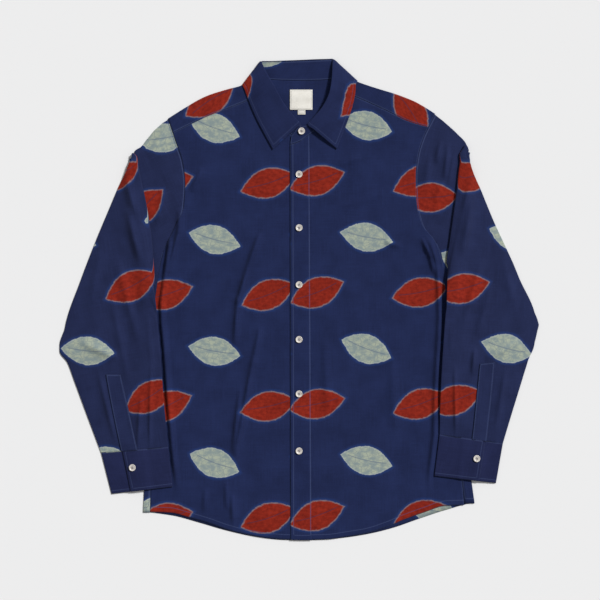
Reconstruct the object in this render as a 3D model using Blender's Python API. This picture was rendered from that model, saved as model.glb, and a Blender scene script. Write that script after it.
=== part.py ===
"""Long-sleeve shirt, buttoned up and laid flat on its back with both sleeves folded down beside it.

+X is the wearer's left, +Y points to the collar and +Z is up. Every cloth piece is a grid of points
on the middle of its wall, worked out from the sizes below, and a Solidify modifier gives the wall
its thickness. Lengths are in millimetres until a mesh is made.
"""

import math

import bmesh
import bpy
import numpy as np
from mathutils import Matrix, Vector

MM = 0.001

# Cloth wall, the gap between two sewn edges, and the radius of a pressed fold's middle line.
WALL = 1.0
SEAM = 0.3
FOLD_R = 0.8
FOLD_STEPS = 4
HALF_TUBE = FOLD_R + WALL / 2

# Heights of the middle of each layer above the floor.
BACK_Z = 0.5
FRONT_Z = 2.1
PLACKET_Z = 3.4
STACK_STEP = 3.0

# The body's layers rise over the part of the collar that lies beneath the back neck.
NECK_LIFT = 1.3
NECK_LIFT_HALF_X = 101.0
NECK_LIFT_FROM_Y = 337.0
NECK_LIFT_RAMP = 14.0

# Body: middle of the back yoke seam, and rows of points down each side.
BACK_YOKE_Y = 260.0
SIDE_ROWS = 9

# Columns: x, y of the body's outline down each side, from the underarm to the hem corner.
SIDE_EDGE_RIGHT = [
    (-228.5, 78.0), (-226.5, 66.0), (-231.5, 31.0), (-238.0, 8.0), (-246.0, -120.0), (-259.5, -350.7),
]
SIDE_EDGE_LEFT = [
    (226.0, 93.0), (229.2, 76.5), (234.0, 50.0), (236.0, 15.0), (256.5, -120.0), (287.6, -335.5),
]

# Columns: x, y of the hem of the back, from the right hem corner to the left one.
HEM = [
    (-259.5, -350.7), (-234.5, -350.7), (-191.9, -360.3), (-145.0, -374.0), (-111.0, -383.8),
    (-71.4, -391.6), (-39.4, -395.9), (0.0, -397.0), (40.4, -396.6), (106.4, -387.5),
    (146.4, -378.4), (178.5, -367.5), (232.0, -348.7), (287.6, -335.5),
]

# Columns: x, how much higher the fronts' hem lies than the back's at that x.
FRONT_HEM_RISE = [
    (-250.0, 0.5), (-215.0, 4.0), (-145.0, 4.0), (-105.0, 1.0),
    (100.0, 1.0), (175.0, 8.0), (235.0, 8.0), (270.0, 1.0),
]

# Width of the strip of back that wraps onto the front, at the underarm and at the hem.
WRAP_TOP = 2.0
WRAP_HEM_RIGHT = 11.5
WRAP_HEM_LEFT = 17.5

# Columns: x, y of the armhole seam, from the shoulder fold to the underarm.
ARMHOLE_RIGHT = [
    (-218.3, 298.7), (-203.3, 254.7), (-192.2, 220.0), (-190.0, 195.0), (-191.9, 156.2),
    (-204.1, 124.5), (-229.0, 80.5),
]
ARMHOLE_LEFT = [
    (222.3, 306.7), (203.3, 269.0), (192.7, 232.2), (190.0, 200.0), (191.5, 165.0),
    (199.7, 127.3), (225.5, 95.5),
]
# Shares of the armhole's length where pieces have their points; the first ends the yoke in front,
# the second ends it behind.
ARMHOLE_SHARES = [0.11, 0.18, 0.32, 0.48, 0.65, 0.83, 1.0]
YOKE_BACK_ROWS = [0.0, 0.1, 0.2, 0.3, 0.42, 0.7, 1.0]
FRONT_COLS = 8

# Columns: x, y of the shoulder fold, from the neck to the armhole.
SHOULDER_RIGHT = [
    (-82.0, 362.3), (-97.5, 353.0), (-125.6, 345.6), (-159.2, 334.0), (-191.6, 315.6), (-218.3, 298.7),
]
SHOULDER_LEFT = [
    (77.0, 367.3), (94.0, 359.5), (125.0, 349.0), (156.6, 339.3), (191.4, 325.5), (222.3, 306.7),
]

# Columns: x, y of the seam between yoke and front, from the neck to the armhole.
YOKE_SEAM_RIGHT = [(-72.0, 338.0), (-94.5, 325.0), (-150.6, 303.0), (-192.2, 283.5), (-211.2, 276.8)]
YOKE_SEAM_LEFT = [(69.0, 339.0), (93.0, 333.0), (143.9, 310.3), (180.0, 293.0), (211.0, 285.0)]

# One row for each section of the collar, from the under end at the front round the back to the top end.
# Columns: neck seam x, y and height; roll line x, y and height; leaf edge x, y and height; turn in
# degrees, 0 where the leaf lies on the front and 180 where it lies behind the back.
COLLAR = [
    (11.0, 257.2, 2.1, 10.5, 273.0, 2.1, None, None, None, 0),
    (1.0, 261.0, 2.1, 6.0, 284.0, 2.5, None, None, None, 0),
    (-10.0, 268.0, 2.1, 0.0, 288.5, 4.2, -45.4, 247.4, 4.0, 0),
    (-24.0, 279.0, 2.1, -14.0, 303.0, 8.0, -58.5, 271.5, 4.0, 0),
    (-40.0, 293.0, 2.1, -29.0, 323.0, 11.0, -71.4, 296.0, 4.0, 0),
    (-57.0, 316.0, 2.1, -43.0, 348.0, 11.5, -82.5, 321.0, 4.0, 0),
    (-72.0, 338.0, 2.1, -56.0, 371.0, 9.0, -89.5, 339.5, 4.6, 0),
    (-80.0, 353.0, 2.0, -65.0, 387.0, 6.0, -94.5, 348.8, 5.1, 30),
    (-82.0, 362.3, 1.3, -67.6, 391.2, 3.8, -99.5, 356.5, 3.0, 90),
    (-79.5, 363.2, 0.85, -66.4, 391.4, 2.6, -97.5, 356.0, 0.7, 130),
    (-74.0, 363.8, 0.5, -63.0, 391.6, 1.9, -90.5, 353.0, 0.5, 165),
    (-60.0, 363.4, 0.5, -52.0, 391.8, 1.8, -75.0, 348.0, 0.5, 180),
    (-30.0, 361.5, 0.5, -27.0, 392.6, 1.8, -38.0, 346.5, 0.5, 180),
    (0.0, 361.0, 0.5, 0.0, 393.6, 1.8, 0.0, 346.0, 0.5, 180),
    (30.0, 361.5, 0.5, 27.0, 394.8, 1.8, 38.0, 347.0, 0.5, 180),
    (60.0, 364.4, 0.5, 46.0, 395.4, 1.8, 73.0, 350.0, 0.5, 180),
    (70.0, 366.6, 0.5, 53.5, 395.5, 1.9, 88.5, 357.5, 0.5, 165),
    (75.0, 367.6, 0.95, 55.9, 395.2, 2.6, 95.5, 362.8, 0.7, 130),
    (77.0, 367.3, 1.3, 57.0, 394.6, 3.8, 97.5, 363.0, 3.0, 90),
    (76.5, 355.0, 2.0, 55.6, 387.0, 6.0, 93.6, 356.3, 5.1, 30),
    (69.0, 339.0, 2.1, 53.0, 365.0, 9.5, 91.0, 345.0, 4.6, 0),
    (56.0, 317.0, 2.1, 49.5, 343.0, 12.0, 88.6, 329.6, 4.0, 0),
    (41.0, 294.0, 2.1, 39.0, 319.0, 11.5, 82.0, 306.0, 4.0, 0),
    (26.0, 280.0, 2.2, 25.0, 301.0, 9.5, 71.5, 277.0, 4.0, 0),
    (11.0, 269.0, 3.1, 12.0, 287.5, 7.2, 60.2, 248.2, 4.0, 0),
    (-3.0, 259.8, 3.4, -1.0, 285.0, 5.6, None, None, None, 0),
    (-17.0, 255.0, 3.4, -15.0, 269.0, 4.6, None, None, None, 0),
]
LEAF_SECTIONS = (2, 24)
FRONT_JOIN_SECTIONS = (6, 20)
BACK_NECK_SECTIONS = (8, 18)
LEAF_CLEAR = 0.7
ROLL_GAP = 0.7
ROLL_R_FRONT = 1.0
ROLL_R_BACK = 0.65

# One row for each section of a sleeve as laid, from the armhole to the cuff.
# Columns: outer edge x, y; inner edge x, y; share of the armhole's bow that the section keeps.
SLEEVE_RIGHT = {
    "upper": [
        (-218.3, 298.7, -229.0, 80.5, 1.0), (-241.0, 277.5, -232.0, 57.0, 0.3),
        (-261.5, 255.5, -235.0, 27.0, 0.08), (-281.0, 233.0, -241.5, -8.0, 0.0),
    ],
    "pleat": (-275.0, 241.5, -242.0, 24.0, 0.2),
    "lower": [
        (-288.5, 215.0, -240.5, 12.0, 0.1), (-310.0, 164.0, -237.5, -6.0, 0.0),
        (-350.0, 65.0, -234.5, -40.0, 0.0), (-395.0, -66.0, -230.5, -80.0, 0.0),
        (-381.5, -110.0, -228.0, -115.0, 0.0), (-356.0, -180.0, -224.0, -170.0, 0.0),
        (-328.5, -253.5, -217.5, -243.5, 0.0),
    ],
    "cuff": (-311.4, -320.3, -210.5, -308.1),
    "cuff_lap": (0.31, 0.56),
    "placket_shares": ((0.296, 0.545), (0.38, 0.546)),
}
SLEEVE_LEFT = {
    "upper": [
        (222.3, 306.7, 225.5, 95.5, 1.0), (245.0, 286.5, 233.5, 73.0, 0.3),
        (263.5, 268.5, 237.0, 35.0, 0.08), (281.0, 243.0, 242.5, -10.0, 0.0),
    ],
    "pleat": (270.0, 254.5, 243.0, 58.0, 0.0),
    "lower": [
        (282.5, 222.0, 242.0, 38.0, 0.0), (299.0, 181.0, 241.0, 10.0, 0.0),
        (319.0, 131.0, 240.0, -14.0, 0.0), (346.0, 71.0, 238.0, -30.0, 0.0),
        (393.0, -42.0, 234.5, -80.0, 0.0), (379.0, -92.0, 232.5, -110.0, 0.0),
        (356.0, -165.0, 230.0, -165.0, 0.0), (334.0, -238.0, 228.9, -223.0, 0.0),
    ],
    "cuff": (322.7, -302.5, 220.6, -290.3),
    "cuff_lap": (0.27, 0.54),
    "placket_shares": ((0.253, 0.488), (0.40, 0.569)),
}
SLEEVE_PLACKET_LENGTH = 129.0
SLEEVE_LOWER_ROWS = 13
SUPPORT_REACH = 15.0
SUPPORT_RAMP = 18.0

# Buttons: size and centres. The front ones stand in one column.
BUTTON_D = 11.3
BUTTON_H = 2.2
FRONT_BUTTON_Y = [206.5, 118.4, 24.5, -65.6, -155.3, -249.1]
FRONT_BUTTON_X = -2.0
STAND_BUTTON_XY = (2.0, 277.8)
CUFF_BUTTON_XY_RIGHT = (-276.2, -276.6)
CUFF_BUTTON_XY_LEFT = (290.4, -261.6)

# Neck label and its tab: x range and y range.
LABEL_X = (-17.2, 20.0)
LABEL_Y = (313.0, 346.0)
TAB_X = (-4.1, 8.4)
TAB_Y = (305.2, 312.6)


def clear_scene():
    """Remove every object the file starts with."""
    for obj in list(bpy.data.objects):
        bpy.data.objects.remove(obj, do_unlink=True)


def finish(name, colour, roughness=0.85, metallic=0.0):
    """One Principled material."""
    material = bpy.data.materials.new(name)
    material.use_nodes = True
    shader = material.node_tree.nodes["Principled BSDF"]
    shader.inputs["Base Color"].default_value = (*colour, 1.0)
    shader.inputs["Roughness"].default_value = roughness
    shader.inputs["Metallic"].default_value = metallic
    return material


def ease(share):
    """0 to 1 with level ends."""
    share = np.clip(share, 0.0, 1.0)
    return share * share * (3.0 - 2.0 * share)


def spline(points, shares, per_length=True):
    """Points at the given shares of a smooth curve through a table's rows."""
    rows = np.asarray(points, dtype=float)
    count = len(rows)
    padded = np.vstack([2 * rows[0] - rows[1], rows, 2 * rows[-1] - rows[-2]])
    position = np.linspace(0.0, count - 1.0, (count - 1) * 16 + 1)
    cell = np.minimum(position.astype(int), count - 2)
    t = (position - cell)[:, None]
    a, b, c, d = (padded[cell + k] for k in range(4))
    dense = b + 0.5 * t * (c - a + t * (2 * a - 5 * b + 4 * c - d + t * (3 * (b - c) + d - a)))
    if per_length:
        steps = np.linalg.norm(np.diff(dense[:, :2], axis=0), axis=1)
        along = np.concatenate([[0.0], np.cumsum(steps)])
        along /= along[-1]
    else:
        along = position / (count - 1.0)
    return np.stack([np.interp(shares, along, dense[:, k]) for k in range(rows.shape[1])], axis=-1)


def patch(top, bottom, start, end, shares=None):
    """Grid of plan points inside four boundary curves; rows run from top to bottom."""
    rows = len(start)
    cols = len(top)
    v = (np.linspace(0.0, 1.0, rows) if shares is None else np.array(shares))[:, None, None]
    u = np.linspace(0.0, 1.0, cols)[None, :, None]
    across = (1 - v) * top[None] + v * bottom[None]
    along = (1 - u) * start[:, None] + u * end[:, None]
    corners = (1 - v) * ((1 - u) * top[0] + u * top[-1]) + v * ((1 - u) * bottom[0] + u * bottom[-1])
    return across + along - corners


def neck_lift(plan):
    """How far the body's layers rise over the collar behind the neck."""
    beyond_x = np.maximum(np.abs(plan[..., 0]) - NECK_LIFT_HALF_X, 0.0)
    below_y = np.maximum(NECK_LIFT_FROM_Y - plan[..., 1], 0.0)
    return NECK_LIFT * (1.0 - ease(np.hypot(beyond_x, below_y) / NECK_LIFT_RAMP))


def at_height(plan, height):
    """Plan points of a body layer with their heights."""
    z = height + neck_lift(plan)
    return np.concatenate([plan, np.broadcast_to(z, plan.shape[:-1])[..., None]], axis=-1)


def cloth_object(name, grid, material, present=None, ring=False, wall=WALL):
    """A cloth piece from its grid of middle points; present says which cells hold cloth."""
    if ring and name.endswith("right"):
        grid = grid[:, ::-1]
    rows, cols = grid.shape[:2]
    cells = cols if ring else cols - 1
    if present is None:
        present = np.ones((rows - 1, cells), dtype=bool)
    faces = []
    for i in range(rows - 1):
        for j in range(cells):
            if present[i, j]:
                k = (j + 1) % cols
                faces.append((i * cols + j, (i + 1) * cols + j, (i + 1) * cols + k, i * cols + k))
    used = sorted({index for face in faces for index in face})
    place = {index: n for n, index in enumerate(used)}
    flat = grid.reshape(-1, 3) * MM
    corners = [tuple(flat[index]) for index in used]
    placed = [tuple(place[index] for index in face) for face in faces]
    mesh = bpy.data.meshes.new(name)
    mesh.from_pydata(corners, [], placed)
    mesh.materials.append(material)
    obj = bpy.data.objects.new(name, mesh)
    bpy.context.scene.collection.objects.link(obj)
    solid = obj.modifiers.new("Wall", "SOLIDIFY")
    solid.thickness = wall * MM
    solid.offset = 0.0
    solid.use_even_offset = True
    solid.use_quality_normals = True
    return obj


def neck_curve(first, last, shares):
    """Plan points along the neck seam between two sections of the collar."""
    sections = np.array([(row[0], row[1]) for row in COLLAR[first:last + 1]])
    place = np.asarray(shares) * (last - first)
    return np.stack([np.interp(place, range(last - first + 1), sections[:, k]) for k in range(2)], axis=-1)


def side_name(side):
    """The wearer's side as a word; side is -1 for right and 1 for left."""
    return "right" if side < 0 else "left"


def armhole(side, shares):
    """Plan points along the armhole seam from the shoulder to the underarm."""
    return spline(ARMHOLE_RIGHT if side < 0 else ARMHOLE_LEFT, shares)


def side_edge(side, shares):
    """Plan points along the body's side fold from the underarm to the hem."""
    return spline(SIDE_EDGE_RIGHT if side < 0 else SIDE_EDGE_LEFT, shares)


def hem_y(x, front):
    """Height of the hem in plan at x, for the fronts or for the back."""
    rows = np.array(HEM)
    y = np.interp(x, rows[:, 0], rows[:, 1])
    if front:
        rise = np.array(FRONT_HEM_RISE)
        y = y + np.interp(x, rise[:, 0], rise[:, 1])
    return y


def side_rows():
    """Shares along the side fold of the rows below the underarm."""
    return np.linspace(0.0, 1.0, SIDE_ROWS + 1)


def wrap_width(side, shares):
    """Width of the back's strip on the front at each share of the side fold."""
    return WRAP_TOP + ((WRAP_HEM_RIGHT if side < 0 else WRAP_HEM_LEFT) - WRAP_TOP) * shares


def make_back(material):
    """Back panel with the strips that wrap onto the front down both sides."""
    cols = 13
    upper_shares = ARMHOLE_SHARES[1:-1]
    upper_rows = len(upper_shares)
    edges = {}
    for side in (-1, 1):
        upper = armhole(side, np.array(upper_shares))
        upper[:, 0] -= side * SEAM / 2
        lower = side_edge(side, side_rows())
        lower[:, 0] -= side * HALF_TUBE
        edges[side] = np.vstack([upper, lower])
    top_x = np.linspace(edges[-1][0, 0], edges[1][0, 0], cols)
    top = np.stack([top_x, back_yoke_y(top_x, edges)], axis=-1)
    hem_x = np.linspace(edges[-1][-1, 0], edges[1][-1, 0], cols)
    bottom = np.stack([hem_x, hem_y(hem_x, front=False)], axis=-1)
    edges[-1][-1, 1] = bottom[0, 1]
    edges[1][-1, 1] = bottom[-1, 1]
    flat = at_height(patch(top, bottom, edges[-1], edges[1]), BACK_Z)
    turns = {side: wrap_strip(side, edges[side], upper_rows) for side in (-1, 1)}
    grid = np.concatenate([turns[-1][:, ::-1], flat, turns[1]], axis=1)
    extra = turns[-1].shape[1]
    present = np.ones((grid.shape[0] - 1, grid.shape[1] - 1), dtype=bool)
    present[:upper_rows, :extra] = False
    present[:upper_rows, -extra:] = False
    cloth_object("back", grid, material, present)


def back_yoke_y(x, edges):
    """Back yoke seam in plan: straight between the armholes, its middle at its own height."""
    ends = (edges[-1][0], edges[1][0])
    return np.interp(x, (ends[0][0], 0.0, ends[1][0]), (ends[0][1], BACK_YOKE_Y, ends[1][1]))


def wrap_strip(side, edge, upper_rows):
    """Fold and front strip of the back down one side, from the flat panel's edge outwards."""
    wrap = np.concatenate([np.zeros(upper_rows), wrap_width(side, side_rows())])
    columns = []
    for step in range(1, FOLD_STEPS + 1):
        angle = math.pi * step / FOLD_STEPS
        plan = edge + np.array([side * FOLD_R * math.sin(angle), 0.0])
        z = (BACK_Z + FRONT_Z) / 2 - FOLD_R * math.cos(angle)
        columns.append(at_height(plan, z))
    strip = edge.copy()
    strip[:, 0] -= side * np.maximum(wrap - HALF_TUBE, 0.5)
    columns.append(at_height(strip, FRONT_Z))
    return np.stack(columns, axis=1)


def make_front(side, material):
    """One front: neck and centre edge on one side, armhole and side seam on the other."""
    outer_upper = armhole(side, np.array(ARMHOLE_SHARES[:-1]))
    outer_upper[:, 0] -= side * SEAM / 2
    upper_rows = len(outer_upper)
    shares = side_rows()
    outer_lower = side_edge(side, shares)
    outer_lower[:, 0] -= side * (np.maximum(wrap_width(side, shares), HALF_TUBE + 0.5) + SEAM)
    outer = np.vstack([outer_upper, outer_lower])
    if side < 0:
        centre_x = COLLAR[0][0]
        neck = np.array([row[:2] for row in COLLAR[FRONT_JOIN_SECTIONS[0]::-1]])
    else:
        centre_x = COLLAR[0][0] + 2 * SEAM
        neck = np.array([row[:2] for row in COLLAR[FRONT_JOIN_SECTIONS[1]:LEAF_SECTIONS[1] + 1]])
        neck[-1] += (2 * SEAM, SEAM)
    upper_y = np.linspace(neck[-1, 1], outer[upper_rows, 1], upper_rows - len(neck) + 2)[1:]
    lower_y = np.linspace(outer[upper_rows, 1], float(hem_y(centre_x, front=True)), len(shares))[1:]
    centre = np.array([(centre_x, y) for y in np.concatenate([upper_y, lower_y])])
    inner = np.vstack([neck, centre])
    top = spline(YOKE_SEAM_RIGHT if side < 0 else YOKE_SEAM_LEFT, np.linspace(1.0, 0.0, FRONT_COLS + 1))
    top[:, 1] -= SEAM
    outer[0, 1] -= SEAM
    top[0] = outer[0]
    inner[0] = top[-1]
    hem_x = np.linspace(outer[-1, 0], centre_x, FRONT_COLS + 1)
    bottom = np.stack([hem_x, hem_y(hem_x, front=True)], axis=-1)
    outer[-1] = bottom[0]
    grid = at_height(patch(top, bottom, outer, inner), FRONT_Z)
    cloth_object("front_" + side_name(side), grid, material)


def shoulder_frame(side, shares):
    """Middle of the shoulder fold and its outward direction in plan at each share."""
    table = SHOULDER_RIGHT if side < 0 else SHOULDER_LEFT
    fold = spline(table, shares)
    ahead = spline(table, np.clip(shares + 0.02, 0, 1)) - spline(table, np.clip(shares - 0.02, 0, 1))
    out = np.stack([-ahead[:, 1], ahead[:, 0]], axis=-1) * (1 if side > 0 else -1)
    out /= np.linalg.norm(out, axis=1)[:, None]
    return fold, out


def make_yoke(material):
    """Yoke: one panel behind the shoulders, folded over each of them down to the front seams."""
    wing_cols = FRONT_COLS
    back_rows = len(YOKE_BACK_ROWS) - 1
    front_rows = FRONT_JOIN_SECTIONS[1] - BACK_NECK_SECTIONS[1]
    shares = np.linspace(1.0, 0.0, wing_cols + 1)
    fold, out = {}, {}
    for side in (-1, 1):
        fold[side], out[side] = shoulder_frame(side, shares)
        fold[side] = fold[side] - out[side] * HALF_TUBE
    back_neck = np.array([row[:2] for row in COLLAR[BACK_NECK_SECTIONS[0]:BACK_NECK_SECTIONS[1] + 1]])
    back_neck[0] = fold[-1][-1]
    back_neck[-1] = fold[1][-1]
    top = np.vstack([fold[-1], back_neck[1:-1], fold[1][::-1]])
    arm = {side: armhole(side, ARMHOLE_SHARES[1] * np.array(YOKE_BACK_ROWS)) for side in (-1, 1)}
    for side in (-1, 1):
        arm[side][:, 0] -= side * SEAM / 2
        arm[side][0] = fold[side][0]
    cols = len(top)
    seam_x = np.linspace(arm[-1][-1, 0], arm[1][-1, 0], cols)
    ends = {side: arm[side][-1:] for side in (-1, 1)}
    seam = np.stack([seam_x, back_yoke_y(seam_x, ends) + SEAM], axis=-1)
    arm[-1][-1] = seam[0]
    arm[1][-1] = seam[-1]
    behind = at_height(patch(top, seam, arm[-1], arm[1], YOKE_BACK_ROWS)[::-1], BACK_Z)
    rows = [behind]
    for step in range(1, FOLD_STEPS + 1):
        angle = math.pi * step / FOLD_STEPS
        row = top.copy()
        row[:wing_cols + 1] += out[-1] * FOLD_R * math.sin(angle)
        row[-wing_cols - 1:] += out[1][::-1] * FOLD_R * math.sin(angle)
        rows.append(at_height(row, (BACK_Z + FRONT_Z) / 2 - FOLD_R * math.cos(angle))[None])
    front = np.zeros((front_rows, cols, 3))
    for side in (-1, 1):
        grid = yoke_front(side, fold[side], front_rows, wing_cols)
        columns = slice(0, wing_cols + 1) if side < 0 else slice(cols - wing_cols - 1, cols)
        front[:, columns] = grid if side < 0 else grid[:, ::-1]
    rows.append(front)
    grid = np.concatenate(rows, axis=0)
    present = np.ones((grid.shape[0] - 1, cols - 1), dtype=bool)
    present[back_rows:, wing_cols:cols - 1 - wing_cols] = False
    cloth_object("yoke", grid, material, present)


def yoke_front(side, fold, rows, wing_cols):
    """Rows of the yoke on one front, from the shoulder fold to the seam, armhole first."""
    seam = spline(YOKE_SEAM_RIGHT if side < 0 else YOKE_SEAM_LEFT, np.linspace(1.0, 0.0, wing_cols + 1))
    arm = armhole(side, np.linspace(0.0, ARMHOLE_SHARES[0], rows + 1))
    arm[:, 0] -= side * SEAM / 2
    arm[0] = fold[0]
    seam[0] = arm[-1]
    if side < 0:
        neck = neck_curve(FRONT_JOIN_SECTIONS[0], BACK_NECK_SECTIONS[0], np.linspace(1.0, 0.0, rows + 1))
    else:
        neck = neck_curve(BACK_NECK_SECTIONS[1], FRONT_JOIN_SECTIONS[1], np.linspace(0.0, 1.0, rows + 1))
    neck[0] = fold[-1]
    neck[-1] = seam[-1]
    return at_height(patch(fold, seam, arm, neck)[1:], FRONT_Z)


def make_placket(material):
    """Button placket on top of both fronts, from the neck seam to the hem."""
    rows = 16
    neck_x = np.array([-17.0, -10.0, -3.0, 4.0, 11.0, 15.0])
    sections = np.array([(row[0], row[1]) for row in COLLAR[LEAF_SECTIONS[1] - 1:]])[::-1]
    neck = np.stack([neck_x, np.interp(neck_x, sections[:, 0], sections[:, 1])], axis=-1)
    hem_x = np.linspace(-16.0, 18.5, len(neck_x))
    hem = np.stack([hem_x, hem_y(hem_x, front=True) - 0.5], axis=-1)
    shares = np.linspace(0.0, 1.0, rows + 1)[:, None, None]
    grid = neck[None] * (1 - shares) + hem[None] * shares
    cloth_object("placket", at_height(grid, PLACKET_Z), material)


def collar_sections(steps):
    """Collar sections made finer: each row holds neck seam, roll line, leaf edge and turn."""
    rows = np.array(COLLAR, dtype=float)
    first, last = LEAF_SECTIONS
    for column in (6, 7, 8):
        rows[:first, column] = rows[first, column]
        rows[last + 1:, column] = rows[last, column]
    count = (len(rows) - 1) * steps + 1
    return spline(rows, np.linspace(0.0, 1.0, count), per_length=False)


def collar_frame(sections):
    """Stand's lower and upper line, direction up the stand, and direction out of the collar's ring."""
    neck_plan = sections[:, 0:2]
    lower = at_height(neck_plan, sections[:, 2])
    upper = sections[:, 3:6]
    rise = upper - lower
    rise /= np.linalg.norm(rise, axis=1)[:, None]
    turn = np.radians(np.clip(sections[:, 9], 0.0, 180.0))
    side = np.sign(np.where(np.abs(sections[:, 3]) < 1e-6, 1.0, sections[:, 3]))
    out = np.stack([side * np.sin(turn) * 0.86, np.sin(turn) * 0.5, np.cos(turn)], axis=-1)
    out /= np.linalg.norm(out, axis=1)[:, None]
    return lower, upper, rise, out


def into_neck(line, rise):
    """Unit directions in plan, halfway between square to the neck seam and up the stand."""
    ahead = np.gradient(line, axis=0)
    square = np.stack([-ahead[:, 1], ahead[:, 0]], axis=-1)
    square *= np.sign(np.sum(square * rise, axis=1))[:, None]
    both = square / np.linalg.norm(square, axis=1)[:, None] + rise / np.linalg.norm(rise, axis=1)[:, None]
    return both / np.linalg.norm(both, axis=1)[:, None]


def make_collar_stand(material, steps=1, rows=3):
    """Band that stands on the neck seam and laps at the front."""
    sections = collar_sections(steps)
    lower, upper, rise, _ = collar_frame(sections)
    corner = np.sin(np.radians(np.clip(sections[:, 9:10], 0.0, 180.0)))
    lower[:, :2] += into_neck(lower[:, :2], rise[:, :2]) * (SEAM + 0.15 + 1.5 * corner)
    shares = np.linspace(0.0, 1.0, rows + 1)[:, None, None]
    grid = lower[None] * (1 - shares) + upper[None] * shares
    cloth_object("collar_stand", grid, material)


def leaf_grid(steps, fall_rows):
    """Middle points of the collar leaf: from the stand's upper edge over the roll and down to its edge."""
    sections = collar_sections(steps)
    first, last = (n * steps for n in LEAF_SECTIONS)
    sections = sections[first:last + 1]
    _, upper, rise, out = collar_frame(sections)
    behind = np.clip(sections[:, 9:10], 0.0, 180.0) / 180.0
    radius = ROLL_R_FRONT + (ROLL_R_BACK - ROLL_R_FRONT) * behind + 0.65 * np.sin(math.pi * behind)
    start = upper + rise * ROLL_GAP
    turned = start + out * 2 * radius
    turned[:, 2] = np.maximum(turned[:, 2], BACK_Z)
    edge = sections[:, 6:9] + np.array([0.0, 0.0, LEAF_CLEAR]) * (1 - behind)
    rows = []
    for t in np.linspace(0.0, 1.0, 5):
        bend = 4.0 / 3.0 * radius
        b0, b1, b2, b3 = (1 - t) ** 3, 3 * t * (1 - t) ** 2, 3 * t * t * (1 - t), t ** 3
        rows.append(b0 * start + b1 * (start + rise * bend) + b2 * (turned + rise * bend) + b3 * turned)
    for t in np.linspace(0.0, 1.0, fall_rows + 1)[1:]:
        rows.append(turned * (1 - t) + edge * t)
    return np.stack(rows, axis=0)


def make_collar_leaf(material):
    """Turned-down leaf with its two points."""
    cloth_object("collar_leaf", leaf_grid(1, 5), material)


def body_support(plan, side):
    """Height that the body's side gives to what lies on it."""
    edge = side_edge(side, np.linspace(0.0, 1.0, 40))
    edge_x = np.interp(-plan[..., 1], -edge[:, 1], edge[:, 0])
    outside = side * (plan[..., 0] - edge_x)
    above = np.maximum(plan[..., 1] - edge[0, 1], 0.0)
    distance = np.hypot(np.maximum(outside, 0.0), above)
    return (FRONT_Z + WALL / 2 + SEAM) * (1.0 - ease((distance - SUPPORT_REACH) / SUPPORT_RAMP))


def pleat_support(plan, sleeve):
    """Height that the two lower layers of the shoulder pleat give to the sleeve on top."""
    fold = sleeve["upper"][-1]
    pleat = sleeve["pleat"]
    corners = np.array([pleat[0:2], fold[0:2], fold[2:4], pleat[2:4]])
    centre = corners.mean(axis=0)
    inside = np.ones(plan.shape[:-1], dtype=bool)
    distance = np.full(plan.shape[:-1], 1e9)
    for a, b in zip(corners, np.roll(corners, -1, axis=0)):
        edge = b - a
        share = np.clip(((plan - a) @ edge) / (edge @ edge), 0.0, 1.0)
        nearest = a + share[..., None] * edge
        distance = np.minimum(distance, np.linalg.norm(plan - nearest, axis=-1))
        cross = edge[0] * (plan[..., 1] - a[1]) - edge[1] * (plan[..., 0] - a[0])
        middle = edge[0] * (centre[1] - a[1]) - edge[1] * (centre[0] - a[0])
        inside &= cross * middle >= 0
    distance = np.where(inside, 0.0, distance)
    return 2 * STACK_STEP * (1.0 - ease((distance - SUPPORT_REACH / 2) / SUPPORT_RAMP))


def sleeve_support(plan, side, sleeve):
    """Height of whatever the lower part of a sleeve lies on."""
    return np.maximum(body_support(plan, side), pleat_support(plan, sleeve))


def sleeve_line(row, side, shares):
    """Plan points of one sleeve section's middle line from its outer to its inner edge."""
    start = np.array(row[0:2])
    end = np.array(row[2:4])
    length = np.linalg.norm(end - start)
    inset = HALF_TUBE / length
    shares = inset + (1 - 2 * inset) * shares
    straight = start + (end - start) * shares[:, None]
    hole = armhole(side, shares)
    chord = armhole(side, np.array([0.0, 1.0]))
    bow = hole - (chord[0] + (chord[1] - chord[0]) * shares[:, None])
    return straight + bow * row[4]


def sleeve_section(line, middle_z, tilt, across, end_steps):
    """Closed ring round a flat tube's middle line; tilt turns the ring about the line."""
    inward = np.append((line[-1] - line[-2]) / np.linalg.norm(line[-1] - line[-2]), 0.0)
    outward = np.append((line[0] - line[1]) / np.linalg.norm(line[0] - line[1]), 0.0)
    up = np.append(across * math.sin(tilt), math.cos(tilt))
    middle = np.concatenate([line, middle_z[:, None]], axis=1)
    upper = middle + up * FOLD_R
    lower = middle - up * FOLD_R
    ends = []
    for centre, direction, sign in ((middle[-1], inward, 1.0), (middle[0], outward, -1.0)):
        for step in range(1, end_steps):
            angle = math.pi * step / end_steps
            bulge = direction * math.sin(angle) + up * math.cos(angle) * sign
            ends.append(centre + bulge * FOLD_R)
    inner_end = np.array(ends[:end_steps - 1])
    outer_end = np.array(ends[end_steps - 1:])
    return np.vstack([upper, inner_end, lower[::-1], outer_end])


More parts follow.
